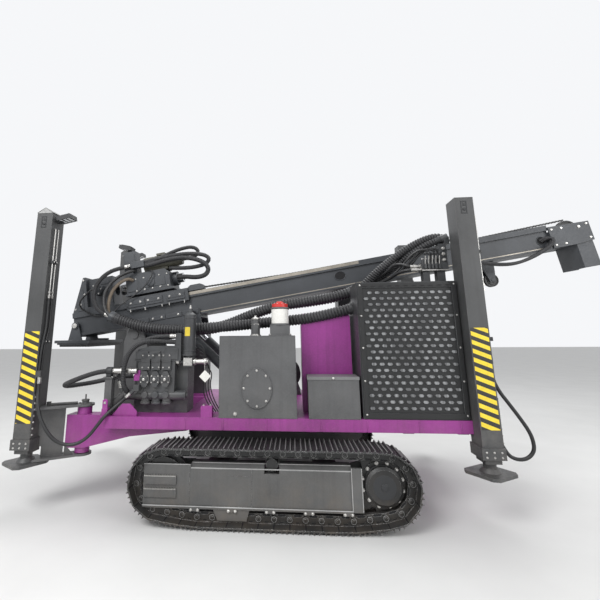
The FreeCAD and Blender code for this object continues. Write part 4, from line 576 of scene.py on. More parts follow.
FACE = 25.0
SADDLE = (350.0, -420.0, 2110.0)
CRADLE = mast(-1552.0, -420.0, -184.0)
BEAM = mast(-2463.0, -420.0, 126.0)
HEAD_PORT = mast(-2262.0, -232.0, 738.0)
BEAM_TURN = -20.5
PUMP_PORT = (-1560.0, -800.0, 1622.0)
PUMP_DRAIN = (-2118.0, -800.0, 1110.0)
PUMP_DRAIN_AXIS = (0.32, 0.0, -0.95)
VALVE_PORT = (1178.0, -800.0, 2575.0)
VALVE_AXIS = (0.9, -0.3, 0.3)
JACK_PORT = (-1978.0, -890.0, 1068.0)
JACK_AXIS = (0.75, 0.0, 0.66)
FRONT_TOP = (-2830.0, -1075.0, 1240.0)
REAR_TOP = (1440.0, -950.0, 1360.0)
REAR_END = (1454.0, -867.0, 748.0)
REAR_AXIS = (-0.342, 0.0, 0.94)

hose("hose_tilt_wrapped", [
    ahead(SADDLE, 20, -FACE), ahead(SADDLE, 20, -205), (-170, -420, 1990), (-500, -420, 1955),
    (-800, -420, 1860), (-1080, -420, 1745), ahead(CRADLE, 0, 200), ahead(CRADLE, 0, FACE)],
    110.0, None, "hose_tilt", ("chassis", "cradle", (200, -420, 2050), (-1400, -420, 1700)),
    steps=64, sides=40, ridge=(32.0, 9.0))
hose("hose_slide_wrapped", [
    ahead(CRADLE, 0, -FACE), ahead(CRADLE, 0, -195), (-1990, -420, 1712),
    ahead(BEAM, BEAM_TURN, 195), ahead(BEAM, BEAM_TURN, FACE)],
    110.0, None, "hose_slide", ("cradle", "mast", (-1600, -420, 1690), (-2350, -420, 1810)),
    steps=64, sides=40, ridge=(32.0, 9.0))
hose("hose_feed_outer", [
    ahead(BEAM, BEAM_TURN, -FACE), ahead(BEAM, BEAM_TURN, -160), (-2692, -402, 1998),
    (-2736, -368, 2125), (-2723, -322, 2260), (-2655, -268, 2377),
    ahead(HEAD_PORT, 9.5, -190), HEAD_PORT],
    48.0, None, "hose_feed", ("mast", "head", (-2480, -420, 1850), (-2380, -232, 2478)),
    steps=60, sides=24, ridge=(18.0, 4.0))
hose("pump_hose_curve", [
    PUMP_PORT, (-1710, -800, 1622), (-1862, -800, 1600), (-1992, -800, 1530),
    (-2087, -800, 1420), (-2142, -800, 1290), beside(PUMP_DRAIN, PUMP_DRAIN_AXIS, -95),
    PUMP_DRAIN], 38.0, "chassis", "pump_hose", steps=60, sides=24,
    ridge=(16.0, 5.0))
hose("return_hose_curve", [
    (-2170, -850, 1278), (-2300, -850, 1278), (-2450, -885, 1238), (-2590, -912, 1182),
    (-2702, -855, 1140), (-2748, -745, 1115), (-2718, -628, 1108), (-2610, -553, 1120),
    (-2460, -538, 1148), (-2310, -562, 1184), (-2158, -612, 1206), (-2000, -612, 1206)],
    44.0, "chassis", "return_hose", steps=60, sides=24,
    ridge=(16.0, 5.0))
hose("hood_hose_wrapped", [
    ahead(SADDLE, 20, FACE), ahead(SADDLE, 20, 145), (620, -450, 2225), (730, -520, 2310),
    (830, -610, 2395), (940, -695, 2475), beside(VALVE_PORT, VALVE_AXIS, -120), VALVE_PORT],
    70.0, "chassis", "hood_hose", steps=44, sides=32, ridge=(26.0, 7.0))
hose("jack_hose_front", [
    FRONT_TOP, (-2830, -1075, 1120), (-2800, -1110, 990), (-2755, -1118, 870),
    (-2690, -1112, 765), (-2625, -1092, 680), (-2535, -1068, 628), (-2425, -1040, 622),
    (-2325, -1015, 680), (-2250, -1000, 780), (-2175, -995, 880),
    beside(JACK_PORT, JACK_AXIS, -135), JACK_PORT],
    32.0, None, "jack_hose_left",
    ("left_swing", "chassis", (-2760, -1110, 900), (-2300, -1010, 720)), steps=14)
hose("jack_hose_back", [
    REAR_TOP, (1440, -950, 1240), (1485, -948, 1120), (1560, -944, 1010), (1640, -938, 890),
    (1710, -930, 775), (1738, -922, 690), (1740, -912, 605), (1685, -898, 538),
    (1596, -880, 522), beside(REAR_END, REAR_AXIS, -185), REAR_END],
    32.0, "chassis", "jack_hose_rear", steps=14)


# Fittings, bolts and small parts, gathered by body

steel = {}


def metal(body):
    """The shell that gathers a body's bright fittings and bolts."""
    return steel.setdefault(body, Shell())


def ferrule(body, at, axis, radius, length=60.0):
    """Crimped collar and nut where a hose meets its port. The axis points along the hose."""
    shell = metal(body)
    shell.turned(beside(at, axis, -6.0), axis, [(0, radius * 1.28), (16, radius * 1.28)], 6)
    shell.turned(at, axis, [(9, radius * 1.02), (14, radius * 1.16), (length * 0.45, radius * 1.16),
                            (length * 0.5, radius * 1.1), (length * 0.56, radius * 1.17),
                            (length - 4, radius * 1.17), (length, radius * 1.03)], 24)


def bolt_row(shell, start, step, count, axis, across=20.0):
    """Bolts at equal steps."""
    for k in range(count):
        shell.bolt([a + k * b for a, b in zip(start, step)], axis, across)
    return shell


def bolt_ring(shell, centre, one, two, axis, count, size, first=0.0, height=None):
    """Bolts evenly round an oval whose two half axes are given as vectors."""
    for k in range(count):
        angle = 2.0 * math.pi * (k + first) / count
        spot = [c + a * math.cos(angle) + b * math.sin(angle)
                for c, a, b in zip(centre, one, two)]
        shell.bolt(spot, axis, size, height)
    return shell


def bolt_corners(shell, centre, dx, dy, size):
    """Upright bolts at the four corners of a plate."""
    for x in (centre[0] - dx, centre[0] + dx):
        for y in (centre[1] - dy, centre[1] + dy):
            shell.bolt((x, y, centre[2]), UP, size)


def beads(side, rows):
    """Shell of thin bars on one side: x0, x1, y, z0, z1 and radius of each."""
    shell = Shell()
    for x0, x1, y, z0, z1, radius in rows:
        shell.bar((x0, side * y, z0), (x1, side * y, z1), radius, 8)
    return shell


def hoop(shell, centre, one, two, radius, thick, sides=56):
    """Ring round an oval with two half axes given as vectors."""
    centre, one, two = Vector(centre), Vector(one), Vector(two)
    up = one.cross(two).normalized()
    points, faces = [], []
    ring = 8
    for i in range(sides):
        angle = 2.0 * math.pi * i / sides
        out = one * math.cos(angle) + two * math.sin(angle)
        away = out.normalized()
        for k in range(ring):
            turn = 2.0 * math.pi * k / ring
            points.append(centre + out * radius + away * (thick * math.cos(turn))
                          + up * (thick * math.sin(turn)))
    for i in range(sides):
        for k in range(ring):
            a, b = i * ring + k, i * ring + (k + 1) % ring
            c = ((i + 1) % sides) * ring
            faces.append((a, b, c + (k + 1) % ring, c + k))
    return shell.add(points, faces)


for body, at, axis, radius in (
        ("chassis", ahead(SADDLE, 20, -FACE), (-0.94, 0, -0.342), 55.0),
        ("cradle", ahead(CRADLE, 0, FACE), ALONG, 55.0),
        ("cradle", ahead(CRADLE, 0, -FACE), AHEAD, 55.0),
        ("mast", ahead(BEAM, BEAM_TURN, FACE), (0.937, 0, -0.35), 55.0),
        ("mast", ahead(BEAM, BEAM_TURN, -FACE), (-0.937, 0, 0.35), 24.0),
        ("head", HEAD_PORT, (-0.986, 0, -0.165), 23.0),
        ("chassis", PUMP_PORT, AHEAD, 19.0),
        ("chassis", PUMP_DRAIN, [-v for v in PUMP_DRAIN_AXIS], 19.0),
        ("chassis", (-2170, -850, 1278), AHEAD, 22.0),
        ("chassis", (-2000, -612, 1206), AHEAD, 22.0),
        ("chassis", VALVE_PORT, [-v for v in VALVE_AXIS], 35.0),
        ("chassis", ahead(SADDLE, 20, FACE), (0.94, 0, 0.342), 35.0),
        ("left_swing", FRONT_TOP, DOWN, 16.0),
        ("chassis", JACK_PORT, [-v for v in JACK_AXIS], 16.0),
        ("chassis", REAR_TOP, DOWN, 16.0),
        ("chassis", REAR_END, [-v for v in REAR_AXIS], 16.0)):
    if radius < 30.0:
        ferrule(body, at, axis, radius, 40.0 + 1.4 * radius)
    else:
        Shell().turned(beside(at, axis, -4.0), axis, [
            (0, radius * 1.12), (12, radius * 1.16), (26, radius * 1.16), (28, radius * 1.08),
            (50, radius * 1.08), (60, radius * 1.02)], 40).piece(
            "hose_cuff_%d" % len(bpy.data.objects), body, black_paint, "dark_paint", angle=30.0)

plated = metal("chassis")

# Stub of the return line
plated.turned((-2172, -850, 1278), ALONG, [
    (0, 27), (60, 27), (61, 31), (80, 31), (81, 27), (150, 27), (151, 33), (176, 33), (177, 27),
    (232, 27)], 24)


# Jacks: stripes, cap plates, pipes and clamps

JACK_FACE = 1097.0
FRONT_X = -2937.0
REAR_X = 1312.0
TUBE_TOP = 2915.0


def jack_dress(label, x, side, body, hoses):
    """What an outer jack tube carries on its face and on its inner side."""
    y = side * JACK_FACE
    out = (0, side, 0)
    Shell().box(x - 75, x + 75, *slab(side, JACK_FACE, JACK_FACE + 1.6), 815, 1678).piece(
        "stripes_" + label, body, hazard, "white_paint")
    plate = Shell()
    for x0, x1, z0, z1 in ((-34, 22, 2752, 2762), (-34, 22, 2868, 2878), (-34, -25, 2762, 2868),
                           (13, 22, 2762, 2868)):
        plate.box(x + x0, x + x1, *slab(side, JACK_FACE, JACK_FACE + 3), z0, z1)
    plate.turned((x - 4, y, 2795), out, [(0, 15), (5, 15), (6, 12)], 20)
    plate.prism([(x - 14, 2830), (x + 6, 2830), (x + 2, 2856), (x - 10, 2856)], "y",
                *slab(side, JACK_FACE, JACK_FACE + 4))
    plate.piece("jack_pocket_" + label, body, black_paint, "charcoal_paint", bevel=0.6)
    side_x = x + 85.0
    strip = Shell()
    strip.box(side_x - 1, side_x + 7, *slab(side, JACK_FACE - 26, JACK_FACE - 4), 690, 1080)
    strip.piece("jack_strip_" + label, body, jack_grey, "charcoal_paint", bevel=1.0)
    bolt_row(metal(body), (side_x + 7, y - side * 15, 712), (0, 0, 57), 7, ALONG, 15)
    for k, offset in enumerate((45.0, 88.0)):
        px, py = side_x + 20.0 + 4.0 * k, y - side * offset
        pipe = metal(body)
        pipe.bar((px, py, 2040), (px, py, 2742), 6.5)
        pipe.bar((px, py, 2742), (side_x - 2, py, 2742), 6.5)
        pipe.turned((px, py, 2012), UP, [(0, 13), (30, 13)], 6)
        pipe.turned((px, py, 2060), UP, [(0, 12), (22, 12)], 6)
        if hoses:
            end = hoses[k]
            hose("jack_hose_%s_%d" % (label, k), [
                (px, py, 2014), (px, py, 1900), (px + 5, py, 1720), (end[0] + 3, end[1], 1520),
                (end[0], end[1], end[2] + 70), end], 21.0, body, steps=10, sides=14)
        clamp = Shell()
        clamp.box(side_x - 1, px + 16, py - 16, py + 16, 2370, 2402)
        clamp.box(side_x - 1, px + 18, py - 19, py + 19, 1560, 1596)
        clamp.piece("pipe_clamp_%s_%d" % (label, k), body, black_paint, "charcoal_paint", bevel=1.5)
        metal(body).bolt((px + 16, py, 2386), ALONG, 11)
        metal(body).bolt((px + 18, py, 1578), ALONG, 11)
    for z in (600, 640):
        for dx in (-62, 0, 62):
            metal(body).bolt((x + dx, y + side * 12, z), out, 13)


jack_dress("front_left", FRONT_X, -1, "left_swing",
           ((-2834, -1086, 1302), (-2827, -1063, 1302)))
jack_dress("front_right", FRONT_X, 1, "right_swing", None)
jack_dress("rear_left", REAR_X, -1, "chassis", None)
jack_dress("rear_right", REAR_X, 1, "chassis", None)

for side, label in SIDES:
    body = label + "_swing"
    roof = Shell()
    for way in (-1, 1):
        roof.prism([(FRONT_X + way * 88, TUBE_TOP + 1), (FRONT_X, TUBE_TOP + 56),
                    (FRONT_X, TUBE_TOP + 59), (FRONT_X + way * 91, TUBE_TOP + 1)], "y",
                   *slab(side, 889, 1101))
    roof.prism([(FRONT_X - 84, TUBE_TOP - 4), (FRONT_X + 84, TUBE_TOP - 4),
                (FRONT_X, TUBE_TOP + 54)], "y", *slab(side, JACK_FACE, JACK_FACE + 3))
    roof.piece("gable_sheet_" + label, body, pale_wear_highlight, "bare_steel", bevel=0.8)
    pin = Shell()
    pin.turned((HINGE_X, side * HINGE_Y, 945), UP, [
        (0, 46), (10, 46), (11, 30), (30, 30), (31, 38), (44, 38), (46, 34)], 28)
    pin.bar((HINGE_X, side * HINGE_Y, 988), (HINGE_X, side * HINGE_Y, 1040), 7)
    pin.bar((-2560, side * 820, 962), (-2790, side * 930, 962), 13)
    pin.box(-2812, -2778, side * 938 - 14, side * 938 + 14, 950, 990)
    for dx, dy in ((58, 0), (-58, 0), (0, 58), (0, -58)):
        pin.bolt((HINGE_X + dx, side * HINGE_Y + dy, 950), UP, 17)
    pin.piece("hinge_pin_top_" + label, body, jack_grey, "dark_paint", bevel=1.0)
    rib = Shell()
    for x in (-2640, -2740):
        rib.prism([(x, 488), (x + 90, 488), (x, 578)], "y", side * 862 - 6, side * 862 + 6)
    rib.piece("arm_rib_" + label, body, charcoal, "charcoal_paint", bevel=1.0)


# Flood lamps

def lamp_dress(label, body, place):
    """Glass, bezel and cooling ribs of a lamp drawn flat round its middle."""
    glass = Shell(place)
    for i in range(3):
        for k in range(3):
            glass.turned((-44 + 44 * i, -40 + 40 * k, -22), DOWN,
                         [(0, 18), (1.5, 18), (3.5, 11)], 20)
    glass.piece("lamp_glass_" + label, body, lens, "white_paint")
    bezel = Shell(place)
    for box in ((-75, 75, -70, -61), (-75, 75, 61, 70), (-75, -66, -61, 61), (66, 75, -61, 61)):
        bezel.box(*box, -27, -21)
    for i in range(8):
        bezel.box(-58 + i * 16, -53 + i * 16, -60, 60, 20, 31)
    bezel.piece("lamp_bezel_" + label, body, black_paint, "dark_paint", bevel=0.8)


def turned_place(x, y, z, angle, base=ROW):
    """Place of a piece tilted about Y."""
    spot = Matrix.Translation((x * MM, y * MM, z * MM))
    return base @ spot @ Matrix.Rotation(math.radians(angle), 4, "Y")


lamp_dress("left", "left_swing", turned_place(FRONT_X + 180, -995, TUBE_TOP - 40, -12))
lamp_dress("right", "right_swing", turned_place(FRONT_X + 180, 995, TUBE_TOP - 40, -12))
lamp_dress("head", "head", turned_place(-2330, -112, 1010, 22, MAST))


# Tank, filter, tool box and hood

bolt_ring(plated, HATCH, (124, 0, 0), (0, 0, 162), LEFT, 8, 17)
plated.bolt((-917, -TANK_FACE, 897), LEFT, 28)
plated.turned((14, -967, 1222), LEFT, [(0, 12), (5, 12), (9, 8), (11, 3)], 20)
rim = Shell()
hoop(rim, HATCH, ALONG, (0, 0, 1.276), 141, 3.2)
rim.piece("hatch_rim", "chassis", charcoal, "charcoal_paint")
seams = beads(-1, (
    (TANK_X0, TANK_X0, TANK_FACE, 864, 1616, 3.0), (TANK_X1, TANK_X1, TANK_FACE, 864, 1616, 3.0),
    (TANK_X0, TANK_X1, TANK_FACE, TANK_TOP, TANK_TOP, 3.0),
    (TANK_X0, TANK_X1, TANK_FACE, 864, 864, 5.0), (-223, 250, TANK_FACE, 864, 864, 5.0),
    (TANK_X0, TANK_X1, 480, TANK_TOP, TANK_TOP, 3.0)))
seams.piece("tank_seams", "chassis", charcoal, "charcoal_paint")
plated.turned((*BREATHER, 1618), UP, [(0, 58), (9, 58), (10, 50), (20, 50)], 30)
plated.turned((*BREATHER, 1728), UP, [(0, 49), (12, 49)], 6)
plated.turned((*BREATHER, 1781), UP, [
    (0, 40), (6, 44), (16, 44), (22, 30), (28, 14), (40, 12), (42, 9)], 24)
flange = Shell()
flange.box(-592, -368, -944, -736, 1616, 1630)
flange.turned((*FILTER, 1720), UP, [(0, 98), (12, 98), (14, 90), (20, 88)], 32)
flange.turned((*FILTER, 1884), UP, [(0, 90), (8, 92), (14, 88), (16, 80)], 32)
flange.piece("filter_flange", "chassis", charcoal, "charcoal_paint", bevel=1.2)
bolt_corners(plated, (*FILTER, 1630), 98, 92, 16)
bolt_ring(plated, (*FILTER, 1935), (62, 0, 0), (0, 62, 0), UP, 8, 10, 0.5)
knob = Shell()
knob.turned((*FILTER, 1935), UP, [(0, 60), (6, 60), (10, 40), (22, 34), (26, 20)], 28)
knob.piece("filter_knob", "chassis", red, "red_plastic")

# Black slits below the louvres: painted shade in the openings.
slots = Shell()
for i in range(11):
    x = 327 + i * 77.3
    slots.prism([(x, 2084), (x + 12, 2090), (x + 42, 2090), (x + 54, 2084), (x + 40, 2080),
                 (x + 14, 2080)], "y", -974.2, -973.2)
slots.piece("grille_slot_shadows", "chassis", shadow_black, "dark_paint")
for side in (-1, 1):
    y = side * 973.0
    for z in (905, 1200, 1500, 1800, 2095):
        for x in (305, 1187):
            plated.turned((x, y, z), (0, side, 0), [(0, 9), (3, 8), (5, 4)], 14)


# Deck: post, gusset, box on the beam, tag and label

deck = Shell()
deck.box(-1250, -1140, -958, -890, DECK_TOP, 965)
deck.box(-1972, -1908, -847, -838, 1180, 1284)
deck.prism([(-2150, DECK_TOP), (-1890, DECK_TOP), (-1890, 905), (-1960, 975),
            (-2040, 975)], "y", -930, -918)
deck.prism([(-2232, 930), (-2180, 930), (-2180, 1010), (-2206, 1022), (-2232, 1010)], "y",
           -955, -940)
deck.box(-2236, -2176, -958, -900, DECK_TOP, 932)
for x in (-1400, -1040, -620, -120, 300, 760, 1120):
    deck.prism([(x, 752), (x + 12, 752), (x + 12, 852), (x, 852)], "y", -966, -960)
deck.piece("deck_brackets", "chassis", purple, "purple_paint", bevel=2.0)
bolt_row(plated, (-1228, -924, 965), (66, 0, 0), 2, UP, 18)
plated.bolt((-2208, -955, 985), LEFT, 18)

post = Shell()
post.box(-2256, -2184, -886, -814, 862, 1208)
post.box(-2272, -2168, -902, -798, 862, 874)
post.box(-2272, -2168, -902, -798, 1208, 1220)
post.prism([(-2184, 874), (-2150, 874), (-2184, 950)], "y", -856, -844)
post.piece("hose_post", "chassis", charcoal, "charcoal_paint", bevel=2.0)
bolt_corners(plated, (*HOSE_POST, 1220), 40, 40, 14)
collar = Shell()
collar.turned((-2256, -857, 1278), ALONG, [(0, 36), (8, 40), (56, 40), (64, 36)], 28)
collar.box(-2250, -2200, -884, -830, 1219, 1256)
collar.piece("hose_saddle_clamp", "chassis", black_paint, "dark_paint", bevel=1.0)

tag = Shell(turned_place(-1230, -884, 1231, 43))
tag.box(-42, 42, -1, 1, -42, 42)
tag.piece("blank_tag", "chassis", white, "white_paint")
wire = Shell()
wire.bar((-1232, -884, 1286), (-1240, -870, 1352), 2.5, 8)
wire.piece("tag_wire", "chassis", bright_steel, "bare_steel")


def patch(shell, centre, radius, start, stop, z0, z1, steps=14):
    """Thin curved sheet round an upright post, between two angles."""
    inner, outer = radius, radius + 0.8
    points, faces = [], []
    for i in range(steps + 1):
        angle = math.radians(start + (stop - start) * i / steps)
        for r, z in ((inner, z0), (outer, z0), (outer, z1), (inner, z1)):
            points.append((centre[0] + r * math.cos(angle), centre[1] + r * math.sin(angle), z))
    for i in range(steps):
        for k in range(4):
            a, b = i * 4 + k, i * 4 + (k + 1) % 4
            faces.append((a, b, b + 4, a + 4))
    faces += [(3, 2, 1, 0), tuple(steps * 4 + k for k in range(4))]
    return shell.add(points, faces)


patch(Shell(), VESSEL, 62.2, 232, 286, 1622, 1712).piece(
    "vessel_label", "chassis", yellow, "white_paint")


# Pump: bolts, covers and pipes

for x in PUMP_COLUMNS:
    plated.turned((x, -888, 1200), LEFT, [(0, 15), (12, 15), (14, 11)], 6)
    for dx, dz in ((-33, 30), (33, 30), (-33, -30), (33, -30)):
        plated.bolt((x + dx, -876, 1200 + dz), LEFT, 11)
    for dx in (-32, 32):
        for z in (1312, 1430):
            plated.bolt((x + dx, -862, z), LEFT, 12)
castings = Shell()
for x in PUMP_COLUMNS:
    castings.turned((x, -800, 984), DOWN, [(0, 46), (8, 52), (26, 52), (32, 44)], 24)
    castings.turned((x, -844, 1046), LEFT, [(0, 36), (14, 36), (20, 30)], 24)
    castings.turned((x, -876, 1200), LEFT, [(0, 34), (4, 34), (8, 29), (10, 22)], 28)
    castings.box(x - 46, x + 46, -868, -850, 1366, 1378)
castings.turned((-2084, -800, 1040), ALONG, [(0, 52), (14, 52)], 28)
castings.turned((-1452, -800, 1040), ALONG, [(0, 54), (16, 54), (18, 30), (30, 24)], 28)
castings.box(-1960, -1830, -862, -848, 1392, 1470)
castings.prism([(-1810, 1392), (-1760, 1392), (-1700, 1470), (-1810, 1470)], "y", -862, -848)
castings.prism([(-1700, 1392), (-1520, 1392), (-1520, 1500), (-1640, 1500)], "y", -860, -848)
castings.piece("pump_castings", "chassis", pump_grey, "charcoal_paint", bevel=2.5)
plated.turned((-1600, -800, 1366), ALONG, [(0, 25), (60, 25), (61, 32), (84, 32)], 24)
plated.turned((-1370, -800, 1366), ALONG, [
    (0, 34), (24, 34), (25, 25), (108, 25), (110, 33), (132, 33), (134, 20), (150, 18)], 24)
plated.box(-1462, -1374, -852, -846, 1330, 1404)
gauge = Shell()
gauge.turned((*VESSEL, 1900), UP, [(0, 12), (24, 12), (26, 8), (40, 8)], 16)
gauge.piece("vessel_valve", "chassis", bright_steel, "bare_steel")
collar_rings = Shell()
collar_rings.rings((*VESSEL, 1470), UP, 66, 12, 1, 1)
collar_rings.rings((*VESSEL, 1800), UP, 66, 12, 1, 1)
collar_rings.piece("vessel_rings", "chassis", pump_grey, "charcoal_paint")


# Track chains, wheels and side frames

def beside_line(start, way, *places):
    """Outline beside a line: each place is so far along it and so far to its right."""
    return [(start[0] + way[0] * s + way[1] * off, start[1] + way[1] * s - way[0] * off)
            for s, off in places]


def ring_path(circles):
    """Points where the link pins lie, evenly round a ring of circles (x, z, r)."""
    runs, normals = [], []
    count = len(circles)
    for i in range(count):
        (ax, az, ar), (bx, bz, br) = circles[i], circles[(i + 1) % count]
        length = math.hypot(bx - ax, bz - az)
        dx, dz, a = (bx - ax) / length, (bz - az) / length, (ar - br) / length
        b = math.sqrt(1.0 - a * a)
        normals.append((a * dx + b * dz, a * dz - b * dx))
    for i in range(count):
        cx, cz, cr = circles[i]
        start = math.atan2(normals[i - 1][1], normals[i - 1][0])
        stop = math.atan2(normals[i][1], normals[i][0])
        while stop < start:
            stop += 2.0 * math.pi
        steps = 60
        turn = (stop - start) / steps
        runs += [(cx + cr * math.cos(start + turn * k), cz + cr * math.sin(start + turn * k))
                 for k in range(steps + 1)]
    runs.append(runs[0])
    total = sum(math.dist(a, b) for a, b in zip(runs, runs[1:]))
    pins, done, i = [], 0.0, 0
    for k in range(LINKS):
        want = total * k / LINKS
        while done + math.dist(runs[i], runs[i + 1]) < want:
            done += math.dist(runs[i], runs[i + 1])
            i += 1
        part = (want - done) / max(1e-6, math.dist(runs[i], runs[i + 1]))
        pins.append(tuple(a + (b - a) * part for a, b in zip(runs[i], runs[i + 1])))
    return pins


PINS = ring_path([(IDLER_X, WHEEL_Z, WHEEL_R), (ROLLERS_X[0], ROLLER_Z, ROLLER_PATH_R),
                  (ROLLERS_X[-1], ROLLER_Z, ROLLER_PATH_R), (SPROCKET_X, WHEEL_Z, WHEEL_R)])
for side, label in SIDES:
    out = (0, side, 0)
    chain, gap_shadows, tip_highlights = Shell(), Shell(), Shell()
    for i, (x, z) in enumerate(PINS):
        nx, nz = PINS[(i + 1) % LINKS]
        length = math.hypot(nx - x, nz - z)
        line = (x, z), ((nx - x) / length, (nz - z) / length)
        plate = beside_line(
            *line, (-20, 30), (20, 32), (34, 22), (length - 34, 22), (length - 20, 32),
            (length + 4, 30), (length + 4, -30), (length - 24, -33), (length - 40, -20),
            (40, -20), (24, -33), (-20, -30))
        boss = [(0, 27), (7, 25), (8, 19), (8.5, 18), (8.5, 12), (10, 10)]
        chain.prism(plate, "y", *slab(side, LINK_FACE, LINK_FACE + 3.5))
        chain.turned((x, side * (LINK_FACE + 3.5), z), out, boss, 20)
        chain.prism(plate, "y", *slab(side, LINK_BACK - 3, LINK_BACK))
        chain.turned((x, side * (LINK_BACK - 7), z), out, boss, 20)
        # Black patches on the link faces and black lines at the shoe joints: painted shade in the
        # gaps.
        face = slab(side, LINK_FACE, LINK_FACE + 0.8)
        for outline, depth in (
                (((34, -30), (48, -14), (length - 46, -14), (length - 32, -30),
                  (length - 40, -37), (40, -37)), face),
                (((46, 14), (length - 44, 14), (length - 52, 30), (54, 30)), face),
                (((-4, 38.6), (5, 38.6), (5, 40.4), (-4, 40.4)),
                 slab(side, LINK_FACE + 1, SHOE_OUTER))):
            gap_shadows.prism(beside_line(*line, *outline), "y", *depth)
        # Pale rims round the bosses and pale rib tips: painted highlights over worn steel.
        hoop(tip_highlights, (x, side * (LINK_FACE + 11), z), ALONG, UP, 22, 1.3, 20)
        for part in RIBS:
            mid = part * length + 6
            tip_highlights.prism(beside_line(*line, (mid - 3.6, 67), (mid - 0.7, 74), (mid + 0.7, 74),
                                   (mid + 3.6, 67)), "y", *slab(side, SHOE_INNER, SHOE_OUTER))
    chain.piece("track_links_" + label, "chassis", link_steel, "track_steel", bevel=1.0)
    gap_shadows.piece("track_gap_shadows_" + label, "chassis", shadow_black, "track_steel")
    tip_highlights.piece("track_rib_tip_highlights_" + label, "chassis", pale_wear_highlight, "track_steel")

for side, label in SIDES:
    out = (0, side, 0)
    bolt_ring(plated, (SPROCKET_X, side * 1049, WHEEL_Z), (174, 0, 0), (0, 0, 174), out, 12, 24,
              0.5, 14)
    hub = Shell()
    hub.turned((SPROCKET_X, side * 1105, WHEEL_Z), out, [
        (0, 150), (8, 146), (13, 128), (14, 96), (15, 96), (16, 60)], 48)
    hub.turned((SPROCKET_X, side * 1118, WHEEL_Z), out, [(0, 30), (8, 30), (10, 24)], 24)
    hoop(hub, (SPROCKET_X, side * 1060, WHEEL_Z), ALONG, UP, 158, 5)
    hub.piece("hub_cover_" + label, "chassis", black_paint, "dark_paint", bevel=1.0)
    teeth = Shell()
    for z in (293, 398):
        for k in range(20):
            x = -1712 + k * 14.6
            teeth.prism([(x, z - 4), (x + 3, z + 10), (x + 8, z + 4), (x + 14, z - 4)], "y",
                        *slab(side, FRAME_FACE, FRAME_FACE + 17))
    teeth.piece("step_teeth_" + label, "chassis", bright_steel, "bare_steel")
    beads(side, ((-746, -746, FRAME_FACE, 164, 462, 3.5),
                 (-1300, -1300, FRAME_FACE, 164, 462, 3.0),
                 (-960, -780, FRAME_FACE, 408, 406, 2.5))).piece(
        "frame_beads_" + label, "chassis", frame_grey, "charcoal_paint")
    # Pale bars along the frame's top and bottom edges: painted highlights.
    beads(side, ((-1290, 118, 1101, 466, 466, 6.0), (-1290, 118, 1062, 501, 501, 4.0),
                 (-1720, 118, 1116, 160, 160, 5.0), (-1720, -1300, FRAME_FACE, 494, 494, 4.0),
                 (118, 118, 1113, 152, 494, 4.0), (204, 204, 1113, 152, 494, 4.0))).piece(
        "frame_edge_highlights_" + label, "chassis", pale_wear_highlight, "charcoal_paint")
    for x in ROLLERS_X:
        bolt_row(plated, (x - 30, side * 1116, 133), (60, 0, 0), 2, out, 19)


# Mast: rails, keepers, holes and chain

